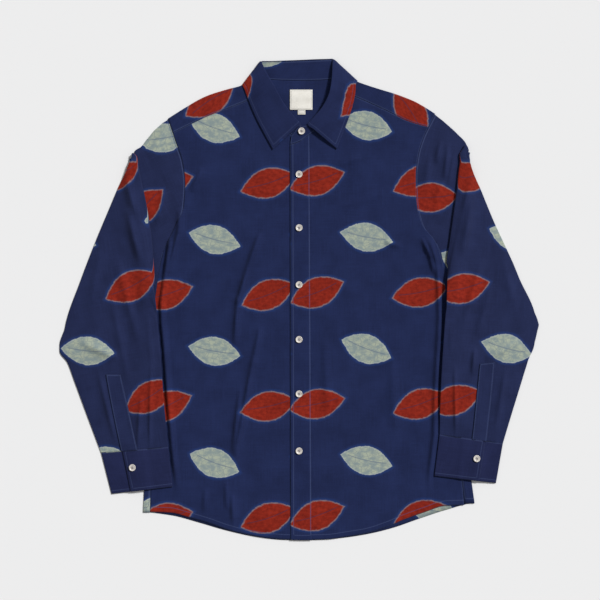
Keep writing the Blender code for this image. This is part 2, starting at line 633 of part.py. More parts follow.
def sleeve_grid(side, sleeve):
    """Rings of a sleeve from the armhole over the pleat at the shoulder down to the cuff."""
    shares = np.array((0.0, *ARMHOLE_SHARES))
    end_steps = 3
    turn_steps = 4
    upper = spline(sleeve["upper"], np.linspace(0.0, 1.0, len(sleeve["upper"])), per_length=False)
    upper[0, 0] += side * SEAM * 1.3
    upper[0, 2] += side * SEAM * 2.5
    fold = np.array(sleeve["upper"][-1])
    pleat = np.array(sleeve["pleat"])
    lower_shares = np.linspace(0.0, 1.0, SLEEVE_LOWER_ROWS + 1)
    lower = spline([sleeve["pleat"]] + sleeve["lower"], lower_shares, per_length=False)
    rings = []

    def flat(row, z, tilt):
        line = sleeve_line(row, side, shares)
        rings.append(sleeve_section(line, np.full(len(line), z), tilt, np.zeros(2), end_steps))

    def turn(row, low_z, toward, start_tilt):
        line = sleeve_line(row, side, shares)
        along = line[-1] - line[0]
        across = np.array([-along[1], along[0]]) / np.linalg.norm(along)
        across *= np.sign(across[0]) * toward
        for step in range(turn_steps + 1):
            angle = math.pi * step / turn_steps
            shift = across * STACK_STEP / 2 * math.sin(angle)
            z = low_z + STACK_STEP / 2 * (1 - math.cos(angle))
            heights = np.full(len(line), z)
            rings.append(sleeve_section(line + shift, heights, start_tilt - angle, across, end_steps))

    for row in upper[:-1]:
        flat(row, HALF_TUBE, 0.0)
    turn(fold, HALF_TUBE, side, 0.0)
    flat((fold + pleat) / 2, HALF_TUBE + STACK_STEP, math.pi)
    turn(pleat, HALF_TUBE + STACK_STEP, -side, math.pi)
    for row in lower[1:]:
        line = sleeve_line(row, side, shares)
        z = sleeve_support(line, side, sleeve) + HALF_TUBE
        rings.append(sleeve_section(line, z, 0.0, np.zeros(2), end_steps))
    return np.stack(rings, axis=0)


def make_sleeve(side, material):
    """One sleeve: a flat tube with the pleat that turns it down beside the body."""
    sleeve = SLEEVE_RIGHT if side < 0 else SLEEVE_LEFT
    cloth_object("sleeve_" + side_name(side), sleeve_grid(side, sleeve), material, ring=True)


def make_sleeve_placket(side, material):
    """Placket strip above the cuff, laid on the sleeve's upper wall."""
    sleeve = SLEEVE_RIGHT if side < 0 else SLEEVE_LEFT
    shares = np.array((0.0, *ARMHOLE_SHARES))
    panel = sleeve_grid(side, sleeve)[:, :len(shares)]
    low, high = (np.array(pair) for pair in sleeve["placket_shares"])
    line = panel[:, len(shares) // 2]
    along = np.concatenate([[0.0], np.cumsum(np.linalg.norm(np.diff(line[::-1], axis=0), axis=1))])
    last = int(np.argmax(along > SLEEVE_PLACKET_LENGTH))
    end_place = last - 1 + (SLEEVE_PLACKET_LENGTH - along[last - 1]) / (along[last] - along[last - 1])
    places = np.append(np.arange(0.0, last - 0.5, 0.5), end_place)
    grid = []
    for place in places:
        n = int(min(place, last - 1))
        row = panel[-1 - n] * (1 - (place - n)) + panel[-2 - n] * (place - n)
        pair = low + (high - low) * place / places[-1]
        strip = np.linspace(pair[0], pair[1], 8)
        points = np.stack([np.interp(strip, shares, row[:, k]) for k in range(3)], axis=-1)
        points[:, 2] += WALL + SEAM + 0.4
        grid.append(points)
    cloth_object("sleeve_placket_" + side_name(side), np.array(grid), material)


def cuff_path(lap, steps):
    """Section of a cuff: top layer, inner fold, under layer, outer fold and underlap.

    Each entry holds a share across the cuff, a height and a bulge beyond the share's place.
    """
    top_end, underlap_end = lap
    middle_lap = (top_end + underlap_end) / 2
    path = [(top_end, PLACKET_Z), (middle_lap, PLACKET_Z), (underlap_end + 0.05, PLACKET_Z)]
    path += [(underlap_end + 0.16, FRONT_Z), (0.85, FRONT_Z)]
    folds = [(1.0, 1.0), (0.0, -1.0)]
    result = [(share, z, 0.0) for share, z in path]
    for number, (share, direction) in enumerate(folds):
        for step in range(steps + 1):
            angle = math.pi * step / steps
            height = (FRONT_Z + BACK_Z) / 2 + direction * FOLD_R * math.cos(angle)
            result.append((share, height, direction * FOLD_R * math.sin(angle)))
        if number == 0:
            result.extend([(share, BACK_Z, 0.0) for share in (0.84, 0.67, 0.5, 0.33, 0.16)])
    result.extend([(share, FRONT_Z, 0.0) for share in (0.16, top_end, middle_lap, underlap_end)])
    return result


def make_cuff(side, material):
    """One cuff: a band round the sleeve's end, lapped and buttoned."""
    sleeve = SLEEVE_RIGHT if side < 0 else SLEEVE_LEFT
    top = np.array(sleeve["lower"][-1][:4])
    bottom = np.array(sleeve["cuff"])
    reach = (bottom[:2] + bottom[2:] - top[:2] - top[2:]) / 2
    unit = reach / np.linalg.norm(reach)
    top = top + np.tile(unit * SEAM, 2)
    rows = 4
    grid = []
    for n in range(rows + 1):
        share = n / rows
        ends = top * (1 - share) + bottom * share
        start, end = ends[:2], ends[2:]
        along = (end - start) / np.linalg.norm(end - start)
        row = []
        for across, height, bulge in cuff_path(sleeve["cuff_lap"], FOLD_STEPS):
            inset = HALF_TUBE * (1 - 2 * across)
            plan = start + (end - start) * across + along * (inset + bulge)
            z = sleeve_support(plan, side, sleeve) + height
            row.append((plan[0], plan[1], float(z)))
        grid.append(row)
    cloth_object("cuff_" + side_name(side), np.array(grid), material)


def make_button(name, centre, normal, material):
    """One button: a disc with a raised rim, turned as a profile."""
    radius = BUTTON_D / 2
    profile = [(0.0, 0.0), (radius * 0.7, 0.0), (radius, BUTTON_H * 0.35)]
    profile += [(radius * 0.95, BUTTON_H), (radius * 0.66, BUTTON_H * 0.75), (0.0, BUTTON_H * 0.66)]
    segments = 12
    mesh = bpy.data.meshes.new(name)
    model = bmesh.new()
    rings = []
    for r, z in profile:
        if r == 0.0:
            rings.append([model.verts.new((0.0, 0.0, z * MM))])
            continue
        angles = [2 * math.pi * k / segments for k in range(segments)]
        places = [(r * MM * math.cos(a), r * MM * math.sin(a), z * MM) for a in angles]
        rings.append([model.verts.new(place) for place in places])
    for low, high in zip(rings, rings[1:]):
        for k in range(segments):
            j = (k + 1) % segments
            if len(low) == 1:
                model.faces.new((low[0], high[j], high[k]))
            elif len(high) == 1:
                model.faces.new((low[k], low[j], high[0]))
            else:
                model.faces.new((low[k], low[j], high[j], high[k]))
    model.to_mesh(mesh)
    model.free()
    mesh.materials.append(material)
    obj = bpy.data.objects.new(name, mesh)
    bpy.context.scene.collection.objects.link(obj)
    turn = Vector((0.0, 0.0, 1.0)).rotation_difference(Vector(normal)).to_matrix().to_4x4()
    obj.matrix_world = Matrix.Translation(Vector(centre) * MM) @ turn


def make_buttons(material):
    """Nine buttons: one on the stand, six down the placket and one on each cuff."""
    clear = WALL / 2 + SEAM
    for number, y in enumerate(FRONT_BUTTON_Y, start=1):
        make_button("button_front_%d" % number, (FRONT_BUTTON_X, y, PLACKET_Z + clear), (0, 0, 1), material)
    x, y = STAND_BUTTON_XY
    lower, upper, _, _ = collar_frame(collar_sections(2))
    near = 2 * (LEAF_SECTIONS[1] + 1) - 1
    share = (y - lower[near, 1]) / (upper[near, 1] - lower[near, 1])
    height = lower[near, 2] + (upper[near, 2] - lower[near, 2]) * share
    slope = (upper[near, 2] - lower[near, 2]) / (upper[near, 1] - lower[near, 1])
    normal = np.array([0.0, -slope, 1.0]) / math.hypot(slope, 1.0)
    make_button("button_stand", np.array([x, y, height]) + normal * (clear + 0.2), normal, material)
    cuffs = ((-1, CUFF_BUTTON_XY_RIGHT, SLEEVE_RIGHT), (1, CUFF_BUTTON_XY_LEFT, SLEEVE_LEFT))
    for side, (x, y), sleeve in cuffs:
        reach = BUTTON_D * 0.6
        z = float(sleeve_support(np.array([x, y]), side, sleeve))
        high = float(sleeve_support(np.array([x + reach, y]), side, sleeve))
        low = float(sleeve_support(np.array([x - reach, y]), side, sleeve))
        slope = (high - low) / (2 * reach)
        normal = np.array([-slope, 0.0, 1.0]) / math.hypot(slope, 1.0)
        foot = np.array([x, y, z + PLACKET_Z]) + normal * (clear + 0.15)
        make_button("button_cuff_" + side_name(side), foot, normal, material)


def make_label(material):
    """Bare neck label and its tab, laid on the inside of the yoke."""
    for name, x_range, y_range in (("label", LABEL_X, LABEL_Y), ("label_tab", TAB_X, TAB_Y)):
        cols, rows = (7, 6) if name == "label" else (3, 3)
        xs = np.linspace(*x_range, cols)
        ys = np.linspace(*y_range[::-1], rows)
        plan = np.stack(np.meshgrid(xs, ys), axis=-1)
        cloth_object(name, at_height(plan, BACK_Z + WALL + SEAM + 0.2), material)


def main():
    """Build the shirt piece by piece."""
    clear_scene()
    navy = (0.018, 0.026, 0.085)
    make_back(finish("back cloth", navy))
    make_yoke(finish("yoke cloth", navy))
    make_front(-1, finish("right front cloth", navy))
    make_front(1, finish("left front cloth", navy))
    make_placket(finish("placket cloth", navy))
    for side in (-1, 1):
        make_sleeve(side, finish(side_name(side) + " sleeve cloth", navy))
        make_sleeve_placket(side, finish(side_name(side) + " sleeve placket cloth", navy))
        make_cuff(side, finish(side_name(side) + " cuff cloth", navy))
    make_collar_stand(finish("stand cloth", navy))
    make_collar_leaf(finish("leaf cloth", navy))
    make_label(finish("label cloth", (0.85, 0.83, 0.8)))
    make_buttons(finish("button shell", (0.75, 0.72, 0.68), roughness=0.3))


main()
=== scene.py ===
"""Long-sleeve shirt laid flat: its cloth, print, stitching, buttons and label.

+X is the wearer's left, +Y points to the collar and +Z is up. Tables hold millimetres; meshes and
texture coordinates are in metres. Each cloth piece is one surface: a coarse grid of points worked
out from the tables, made finer by a shape-keeping cubic, raised by the folds of the cloth, and
thickened by a Solidify modifier.
"""

import logging
import math
from collections.abc import Callable, Sequence
from dataclasses import dataclass, field
from enum import Enum

import bpy
import numpy as np
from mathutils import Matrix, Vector


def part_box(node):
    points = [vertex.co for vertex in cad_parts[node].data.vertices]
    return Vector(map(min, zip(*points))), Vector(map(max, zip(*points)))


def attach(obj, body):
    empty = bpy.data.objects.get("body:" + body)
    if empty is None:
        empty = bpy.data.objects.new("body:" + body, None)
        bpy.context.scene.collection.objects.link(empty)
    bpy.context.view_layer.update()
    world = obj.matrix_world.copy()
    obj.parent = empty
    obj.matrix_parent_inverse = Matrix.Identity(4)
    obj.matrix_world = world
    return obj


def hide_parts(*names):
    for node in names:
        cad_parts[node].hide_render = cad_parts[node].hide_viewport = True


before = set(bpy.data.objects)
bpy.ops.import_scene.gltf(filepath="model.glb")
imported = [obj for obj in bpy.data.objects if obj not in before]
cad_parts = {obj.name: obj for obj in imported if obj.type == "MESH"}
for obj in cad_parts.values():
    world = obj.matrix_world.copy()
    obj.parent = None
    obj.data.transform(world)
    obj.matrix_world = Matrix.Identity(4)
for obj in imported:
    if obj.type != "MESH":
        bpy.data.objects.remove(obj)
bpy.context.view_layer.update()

LOG = logging.getLogger("shirt")
MM = 0.001

# Short names of the types that stand in most signatures.
Array = np.ndarray
Object = bpy.types.Object
Material = bpy.types.Material
Socket = bpy.types.NodeSocket
Pair = tuple[float, float]
Box = tuple[float, float, float, float]
Table = Sequence[tuple[float, ...]]

# Thickness of a wall, gap at a seam, and how far a sewn end is tucked under its neighbour.
WALL = 1.0
SEAM = 0.3
TUCK = 1.6

# Radius of a fold's middle line, steps round it, and half the height of a flat tube.
FOLD_R = 0.8
FOLD_STEPS = 4
HALF_TUBE = FOLD_R + WALL / 2

# Heights of the layers' middles, and the height that one flat tube takes in a stack.
BACK_Z = 0.5
FRONT_Z = 2.1
PLACKET_Z = 3.4
STACK_STEP = 3.0

# What the cloth of each node lies on.
LIES_ON = {
    "back": ["floor"],
    "yoke": ["floor", "cloth_back"],
    "front_right": ["cloth_back"],
    "front_left": ["cloth_back"],
    "placket": ["cloth_front_right"],
    "collar_stand": ["cloth_yoke"],
    "collar_leaf": ["cloth_yoke", "cloth_front_right", "cloth_front_left"],
    "sleeve_right": ["floor", "cloth_front_right"],
    "sleeve_placket_right": ["cloth_sleeve_right"],
    "cuff_right": ["floor", "cloth_front_right"],
    "sleeve_left": ["floor", "cloth_front_left"],
    "sleeve_placket_left": ["cloth_sleeve_left"],
    "cuff_left": ["floor", "cloth_front_left"],
    "label": ["cloth_yoke"],
}


class Side(Enum):
    """The wearer's side; its value is the sign of X there."""

    RIGHT = -1
    LEFT = 1

    @property
    def word(self) -> str:
        """The side's name in lower case."""
        return self.name.lower()


class Border(Enum):
    """One border of a cloth piece's grid."""

    FIRST_ROW = "first row"
    LAST_ROW = "last row"
    FIRST_COL = "first column"
    LAST_COL = "last column"


def ease(share: Array | float) -> Array:
    """3s² - 2s³ of a share that is first cut to 0 to 1, so that it starts and ends level."""
    share = np.clip(share, 0.0, 1.0)
    return share * share * (3.0 - 2.0 * share)


def spline(points: Table, shares: Array, per_length: bool = True) -> Array:
    """Points of a Catmull-Rom curve through a table's rows.

    Args:
        points: Table rows.
        shares: Where the points are wanted, 0 at the first row and 1 at the last.
        per_length: Whether shares count length along the curve, or rows of the table.

    Returns:
        One row of values for each share.
    """
    rows = np.asarray(points, dtype=float)
    count = len(rows)
    padded = np.vstack([2 * rows[0] - rows[1], rows, 2 * rows[-1] - rows[-2]])
    position = np.linspace(0.0, count - 1.0, (count - 1) * 16 + 1)
    cell = np.minimum(position.astype(int), count - 2)
    t = (position - cell)[:, None]
    a, b, c, d = (padded[cell + k] for k in range(4))
    dense = b + 0.5 * t * (c - a + t * (2 * a - 5 * b + 4 * c - d + t * (3 * (b - c) + d - a)))
    along = position / (count - 1.0)
    if per_length:
        along = np.append(0.0, np.cumsum(np.linalg.norm(np.diff(dense[:, :2], axis=0), axis=1)))
        along /= along[-1]
    return np.stack([np.interp(shares, along, dense[:, k]) for k in range(rows.shape[1])], axis=-1)


def patch(
    top: Array, bottom: Array, start: Array, end: Array, shares: Sequence[float] | None = None
) -> Array:
    """Plan points of a Coons patch: both ruled surfaces of its borders, less the bilinear one.

    Args:
        top: First row of points.
        bottom: Last row of points.
        start: First column of points.
        end: Last column of points.
        shares: Share of each row between top and bottom; even when left out.

    Returns:
        Grid of plan points.
    """
    v = (np.linspace(0.0, 1.0, len(start)) if shares is None else np.array(shares))[:, None, None]
    u = np.linspace(0.0, 1.0, len(top))[None, :, None]
    across = (1 - v) * top[None] + v * bottom[None]
    along = (1 - u) * start[:, None] + u * end[:, None]
    corners = (1 - v) * ((1 - u) * top[0] + u * top[-1]) + v * ((1 - u) * bottom[0] + u * bottom[-1])
    return across + along - corners


def interpolate(values: Array, knot: Array, place: Array) -> Array:
    """Shape-keeping cubic through values along their first axis.

    The slope at a knot is the weighted harmonic mean of the two slopes beside it where they have
    the same sign, and 0 elsewhere, so the curve never overshoots a fold.

    Args:
        values: Array whose first axis goes with the knots.
        knot: Rising positions of the values.
        place: Positions that are wanted.

    Returns:
        Array like values, with one entry for each place.
    """
    shape = (-1,) + (1,) * (values.ndim - 1)
    gap = np.diff(knot).reshape(shape)
    slope = np.diff(values, axis=0) / gap
    before, after = slope[:-1], slope[1:]
    weight_before = 2 * gap[1:] + gap[:-1]
    weight_after = gap[1:] + 2 * gap[:-1]
    same = before * after > 1e-18
    safe_before = np.where(same, before, 1.0)
    safe_after = np.where(same, after, 1.0)
    mean = (weight_before + weight_after) / (weight_before / safe_before + weight_after / safe_after)
    tangent = np.concatenate([slope[:1], np.where(same, mean, 0.0), slope[-1:]])
    cell = np.clip(np.searchsorted(knot, place, side="right") - 1, 0, len(knot) - 2)
    t = ((place - knot[cell]) / np.diff(knot)[cell]).reshape(shape)
    h = gap[cell]
    low, high = values[cell], values[cell + 1]
    rise = high - low
    start, end = tangent[cell] * h, tangent[cell + 1] * h
    return low + t * (start + t * (3 * rise - 2 * start - end + t * (start + end - 2 * rise)))


def run_along(points: Array, axis: int) -> Array:
    """Length run along each grid line of one axis, from its first point.

    Args:
        points: Grid of points.
        axis: 0 for lines that cross the rows, 1 for lines that follow them.

    Returns:
        Grid of lengths.
    """
    steps = np.linalg.norm(np.diff(points, axis=axis), axis=-1)
    first = np.zeros_like(np.take(steps, [0], axis=axis))
    return np.concatenate([first, np.cumsum(steps, axis=axis)], axis=axis)


@dataclass
class Sheet:
    """A cloth surface before it is made: middle points, place on the cut cloth, and how folds raise it.

    Attributes:
        points: Grid of middle points, mm.
        cloth: Place of each point on the cut cloth, mm, measured from the middle of a rust leaf.
        lift: How much of the folds' height each point takes.
        present: Which cells of the grid hold cloth.
        stitched: How far inside each stitched border its thread runs, mm.
        ring: Whether the last column is the first one again.
    """

    points: Array
    cloth: Array
    lift: Array | float = 1.0
    present: Array | None = None
    stitched: dict[Border, float] = field(default_factory=dict)
    ring: bool = False

    def finer(self, step: float, fold_step: float = 0.45) -> "Sheet":
        """The same surface on a finer grid.

        Args:
            step: Longest cell wanted, mm.
            fold_step: Longest cell wanted in the narrow cells of a fold, mm.

        Returns:
            A new sheet whose every cell is cut into equal parts.
        """
        rows, cols = self.points.shape[:2]
        lift = np.broadcast_to(self.lift, (rows, cols))[..., None].astype(float)
        values = np.concatenate([self.points, self.cloth, lift], axis=-1)
        present = np.ones((rows - 1, cols - 1), dtype=bool) if self.present is None else self.present
        for axis in (0, 1):
            lengths = np.linalg.norm(np.diff(values[..., :3], axis=axis), axis=-1)
            gap = np.maximum(lengths.mean(axis=1 - axis), 1e-4)
            knot = np.append(0.0, np.cumsum(gap))
            longest = np.where(gap < 2.2, fold_step, step)
            parts = np.maximum(np.ceil(lengths.max(axis=1 - axis) / longest).astype(int), 1)
            owner = np.repeat(np.arange(len(gap)), parts)
            inside = np.concatenate([np.arange(n) / n for n in parts])
            place = np.append(knot[owner] + gap[owner] * inside, knot[-1])
            values = np.moveaxis(interpolate(np.moveaxis(values, axis, 0), knot, place), 0, axis)
            present = np.take(present, owner, axis=axis)
        return Sheet(values[..., :3], values[..., 3:5], values[..., 5], present, self.stitched, self.ring)

    def cut(self) -> tuple[Pair, float]:
        """Flat size of the cut cloth, from the places of the cells on it.

        A cell's area is half the product of its diagonals, crossed.

        Returns:
            Width and length, and area, in metres and square metres.
        """
        across = self.cloth[1:, 1:] - self.cloth[:-1, :-1]
        along = self.cloth[1:, :-1] - self.cloth[:-1, 1:]
        cells = abs(across[..., 0] * along[..., 1] - across[..., 1] * along[..., 0]) / 2
        used = np.ones(cells.shape, dtype=bool) if self.present is None else self.present
        corners = np.zeros(self.cloth.shape[:2], dtype=bool)
        for rows in (slice(None, -1), slice(1, None)):
            for columns in (slice(None, -1), slice(1, None)):
                corners[rows, columns] |= used
        width, length = np.ptp(self.cloth[corners], axis=0) / 1000.0
        return (float(width), float(length)), float(min(cells[used].sum() / 1e6, width * length))

    def seams(self) -> tuple[Array, Array]:
        """Texture coordinates of the stitching and of the borders.

        Returns:
            Distance inward from the nearest line of thread with the length run along it, and
            distance from the nearest border with the length run down the piece, all in mm.
        """
        down, across = run_along(self.points, 0), run_along(self.points, 1)
        distance = {
            Border.FIRST_ROW: (down, across),
            Border.LAST_ROW: (down[-1:] - down, across),
            Border.FIRST_COL: (across, down),
            Border.LAST_COL: (across[:, -1:] - across, down),
        }
        thread = np.full(down.shape, 60.0)
        run = np.zeros(down.shape)
        for border, inset in self.stitched.items():
            here = distance[border][0] - inset
            nearer = here < thread
            thread = np.where(nearer, here, thread)
            run = np.where(nearer, distance[border][1], run)
        borders = [Border.FIRST_ROW, Border.LAST_ROW] if self.ring else list(Border)
        edge = np.min([distance[border][0] for border in borders], axis=0)
        return np.stack([thread, run], axis=-1), np.stack(np.broadcast_arrays(edge, down), axis=-1)


def link(name: str, data: bpy.types.ID) -> Object:
    """New object of the scene, at the origin.

    Args:
        name: Object's name.
        data: Mesh, lamp or camera.

    Returns:
        The object.
    """
    obj = bpy.data.objects.new(name, data)
    bpy.context.scene.collection.objects.link(obj)
    return obj


def put_in(piece: Object, node: str) -> None:
    """Let a piece stand for its node: hang it under the root and hide the node.

    Args:
        piece: The new piece.
        node: Node that it replaces.
    """
    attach(piece, "root")
    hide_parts(node)
    LOG.info("%s: %d faces, for %s", piece.name, len(piece.data.polygons), node)


def make_cloth(
    node: str,
    sheet: Sheet,
    material: Material,
    thickness: float,
) -> Object:
    """Piece of cloth with its texture coordinates and its thickness, with the size of its cut logged.

    Args:
        node: Node that it replaces.
        sheet: Fine surface with its folds.
        material: Finish of the piece.
        thickness: Thickness of the cloth, mm.

    Returns:
        The piece, at the origin.
    """
    cols = sheet.points.shape[1]
    row, col = np.nonzero(sheet.present)
    first = row * cols + col
    corners = np.stack([first, first + cols, first + cols + 1, first + 1], axis=1).reshape(-1)
    joined = (corners // cols) * cols + (corners % cols) % (cols - 1) if sheet.ring else corners
    used, place = np.unique(joined, return_inverse=True)
    mesh = bpy.data.meshes.new("cloth_" + node)
    mesh.from_pydata((sheet.points.reshape(-1, 3)[used] * MM).tolist(), [], place.reshape(-1, 4).tolist())
    seam, edge = sheet.seams()
    for layer_name, grid in (("Cloth", sheet.cloth), ("Stitch", seam), ("Edge", edge)):
        layer = mesh.uv_layers.new(name=layer_name)
        layer.data.foreach_set("uv", (grid.reshape(-1, 2)[corners] * MM).astype(np.float32).reshape(-1))
    mesh.polygons.foreach_set("use_smooth", np.ones(len(mesh.polygons), dtype=bool))
    mesh.materials.append(material)
    mesh.update()
    piece = link(mesh.name, mesh)
    solid = piece.modifiers.new("Thickness", "SOLIDIFY")
    solid.thickness = thickness * MM
    solid.offset = 0.0
    solid.use_even_offset = False
    if node in LIES_ON:
        flat, area = sheet.cut()
        LOG.info("%s: cut %.0f x %.0f mm, %.0f cm2", node, flat[0] * 1000, flat[1] * 1000, area * 1e4)
    put_in(piece, node)
    return piece


def operator(operation: str, swapped: bool = False) -> Callable[..., "Num"]:
    """Method that makes one Math node of a number and of what stands beside it.

    Args:
        operation: Blender's name of the operation.
        swapped: Whether the other value comes first.

    Returns:
        The method.
    """

    def method(self: "Num", *others: "Num | float") -> "Num":
        """One Math node on this number and the values given."""
        values = (*others, self) if swapped else (self, *others)
        return self.bench.number("ShaderNodeMath", {"operation": operation}, dict(enumerate(values)))

    return method


class Num:
    """A number in a shader: one float socket with the operators of arithmetic."""

    def __init__(self, bench: "Bench", socket: Socket) -> None:
        """Wrap one output socket of a bench."""
        self.bench = bench
        self.socket = socket

    __add__ = operator("ADD")
    __radd__ = operator("ADD", True)
    __sub__ = operator("SUBTRACT")
    __rsub__ = operator("SUBTRACT", True)
    __mul__ = operator("MULTIPLY")
    __rmul__ = operator("MULTIPLY", True)
    __truediv__ = operator("DIVIDE")
    __rtruediv__ = operator("DIVIDE", True)
    __abs__ = operator("ABSOLUTE")
    sin = operator("SINE")
    cos = operator("COSINE")
    rounded = operator("ROUND")
    fraction = operator("FRACT")
    root = operator("SQRT")
    least = operator("MINIMUM")
    most = operator("MAXIMUM")

    def step(self, start: float, end: float) -> "Num":
        """Smooth step from 0 at start to 1 at end; start may be the larger.

        Args:
            start: Value where the step is 0.
            end: Value where the step is 1.

        Returns:
            A number from 0 to 1.
        """
        settings = {"interpolation_type": "SMOOTHSTEP"}
        inputs = {"Value": self, "From Min": min(start, end), "From Max": max(start, end)}
        rising = self.bench.number("ShaderNodeMapRange", settings, inputs)
        return rising if start < end else 1.0 - rising


Place = tuple[Num, Num]
Colour = tuple[float, float, float]


def ink(red: int, green: int, blue: int) -> Colour:
    """Linear colour, 0 to 1, of a display colour of 0 to 255, by the sRGB curve."""
    shares = (value / 255 for value in (red, green, blue))
    return tuple(s / 12.92 if s <= 0.04045 else ((s + 0.055) / 1.055) ** 2.4 for s in shares)


class Bench:
    """Node tree of one material, with the few moves that the finishes need."""

    def __init__(self, name: str, roughness: float) -> None:
        """Start a material with a plain shader.

        Args:
            name: Material's name.
            roughness: Roughness where nothing varies it.
        """
        self.material = bpy.data.materials.new(name)
        self.material.use_nodes = True
        self.nodes = self.material.node_tree.nodes
        self.links = self.material.node_tree.links
        self.shader = self.nodes["Principled BSDF"]
        self.shader.inputs["Roughness"].default_value = roughness

    def add(self, kind: str, settings: dict[str, object], inputs: dict[str | int, object]) -> bpy.types.Node:
        """One node: its settings first, then the values and links of its sockets.

        Args:
            kind: Blender's name of the node type.
            settings: Attributes of the node.
            inputs: Values or sockets by the name or number of the input.

        Returns:
            The node.
        """
        node = self.nodes.new(kind)
        for key, value in settings.items():
            setattr(node, key, value)
        for key, value in inputs.items():
            self.put(node.inputs[key], value)
        return node

    def put(self, socket: Socket, value: object) -> None:
        """Link a socket or a number to an input, or set its value.

        Args:
            socket: Input socket.
            value: Num, output socket, number, colour or vector.
        """
        if isinstance(value, Num):
            value = value.socket
        if isinstance(value, Socket):
            self.links.new(value, socket)
        elif socket.type == "RGBA":
            socket.default_value = (*value, 1.0)
        else:
            socket.default_value = value

    def number(self, kind: str, settings: dict[str, object], inputs: dict[str | int, object]) -> Num:
        """A node whose first output is used as a number."""
        return Num(self, self.add(kind, settings, inputs).outputs[0])

    def mix(self, share: Num | float, first: object, second: object, blend: str = "MIX") -> Socket:
        """Mixed colour: at share 0 the first, at share 1 the second or its blend with the first."""
        settings = {"data_type": "RGBA", "blend_type": blend}
        return self.add("ShaderNodeMix", settings, {0: share, 6: first, 7: second}).outputs[2]

    def map(self, name: str) -> tuple[Num, Num]:
        """Both numbers of one set of texture coordinates, in mm.

        Args:
            name: Name of the coordinates.

        Returns:
            The two numbers.
        """
        uv = self.add("ShaderNodeUVMap", {"uv_map": name}, {})
        parts = self.add("ShaderNodeSeparateXYZ", {}, {0: uv.outputs[0]})
        return Num(self, parts.outputs[0]) * 1000.0, Num(self, parts.outputs[1]) * 1000.0

    def noise(self, u: Num, v: Num, scale: Pair, detail: float, seed: float) -> Num:
        """Noise from 0 to 1 over two numbers.

        Args:
            u: First coordinate, mm.
            v: Second coordinate, mm.
            scale: Length of a speck along each coordinate, mm.
            detail: Octaves of finer noise.
            seed: Which noise.

        Returns:
            The noise as a number.
        """
        place = self.add("ShaderNodeCombineXYZ", {}, {0: u / scale[0], 1: v / scale[1], 2: seed})
        inputs = {"Vector": place.outputs[0], "Scale": 1.0, "Detail": detail, "Roughness": 0.55}
        return self.number("ShaderNodeTexNoise", {"noise_dimensions": "3D"}, inputs)

    def dress(self, inputs: dict[str, object], height: Num | None = None, strength: float = 0.0) -> None:
        """Feed the shader, and its Normal from a height.

        Args:
            inputs: Values or sockets by the name of the shader's input.
            height: Height of the surface, mm.
            strength: Share of the bump that shows.
        """
        for key, value in inputs.items():
            self.put(self.shader.inputs[key], value)
        if height is not None:
            node = self.add("ShaderNodeBump", {}, {"Strength": strength, "Distance": MM, "Height": height})
            self.put(self.shader.inputs["Normal"], node.outputs[0])


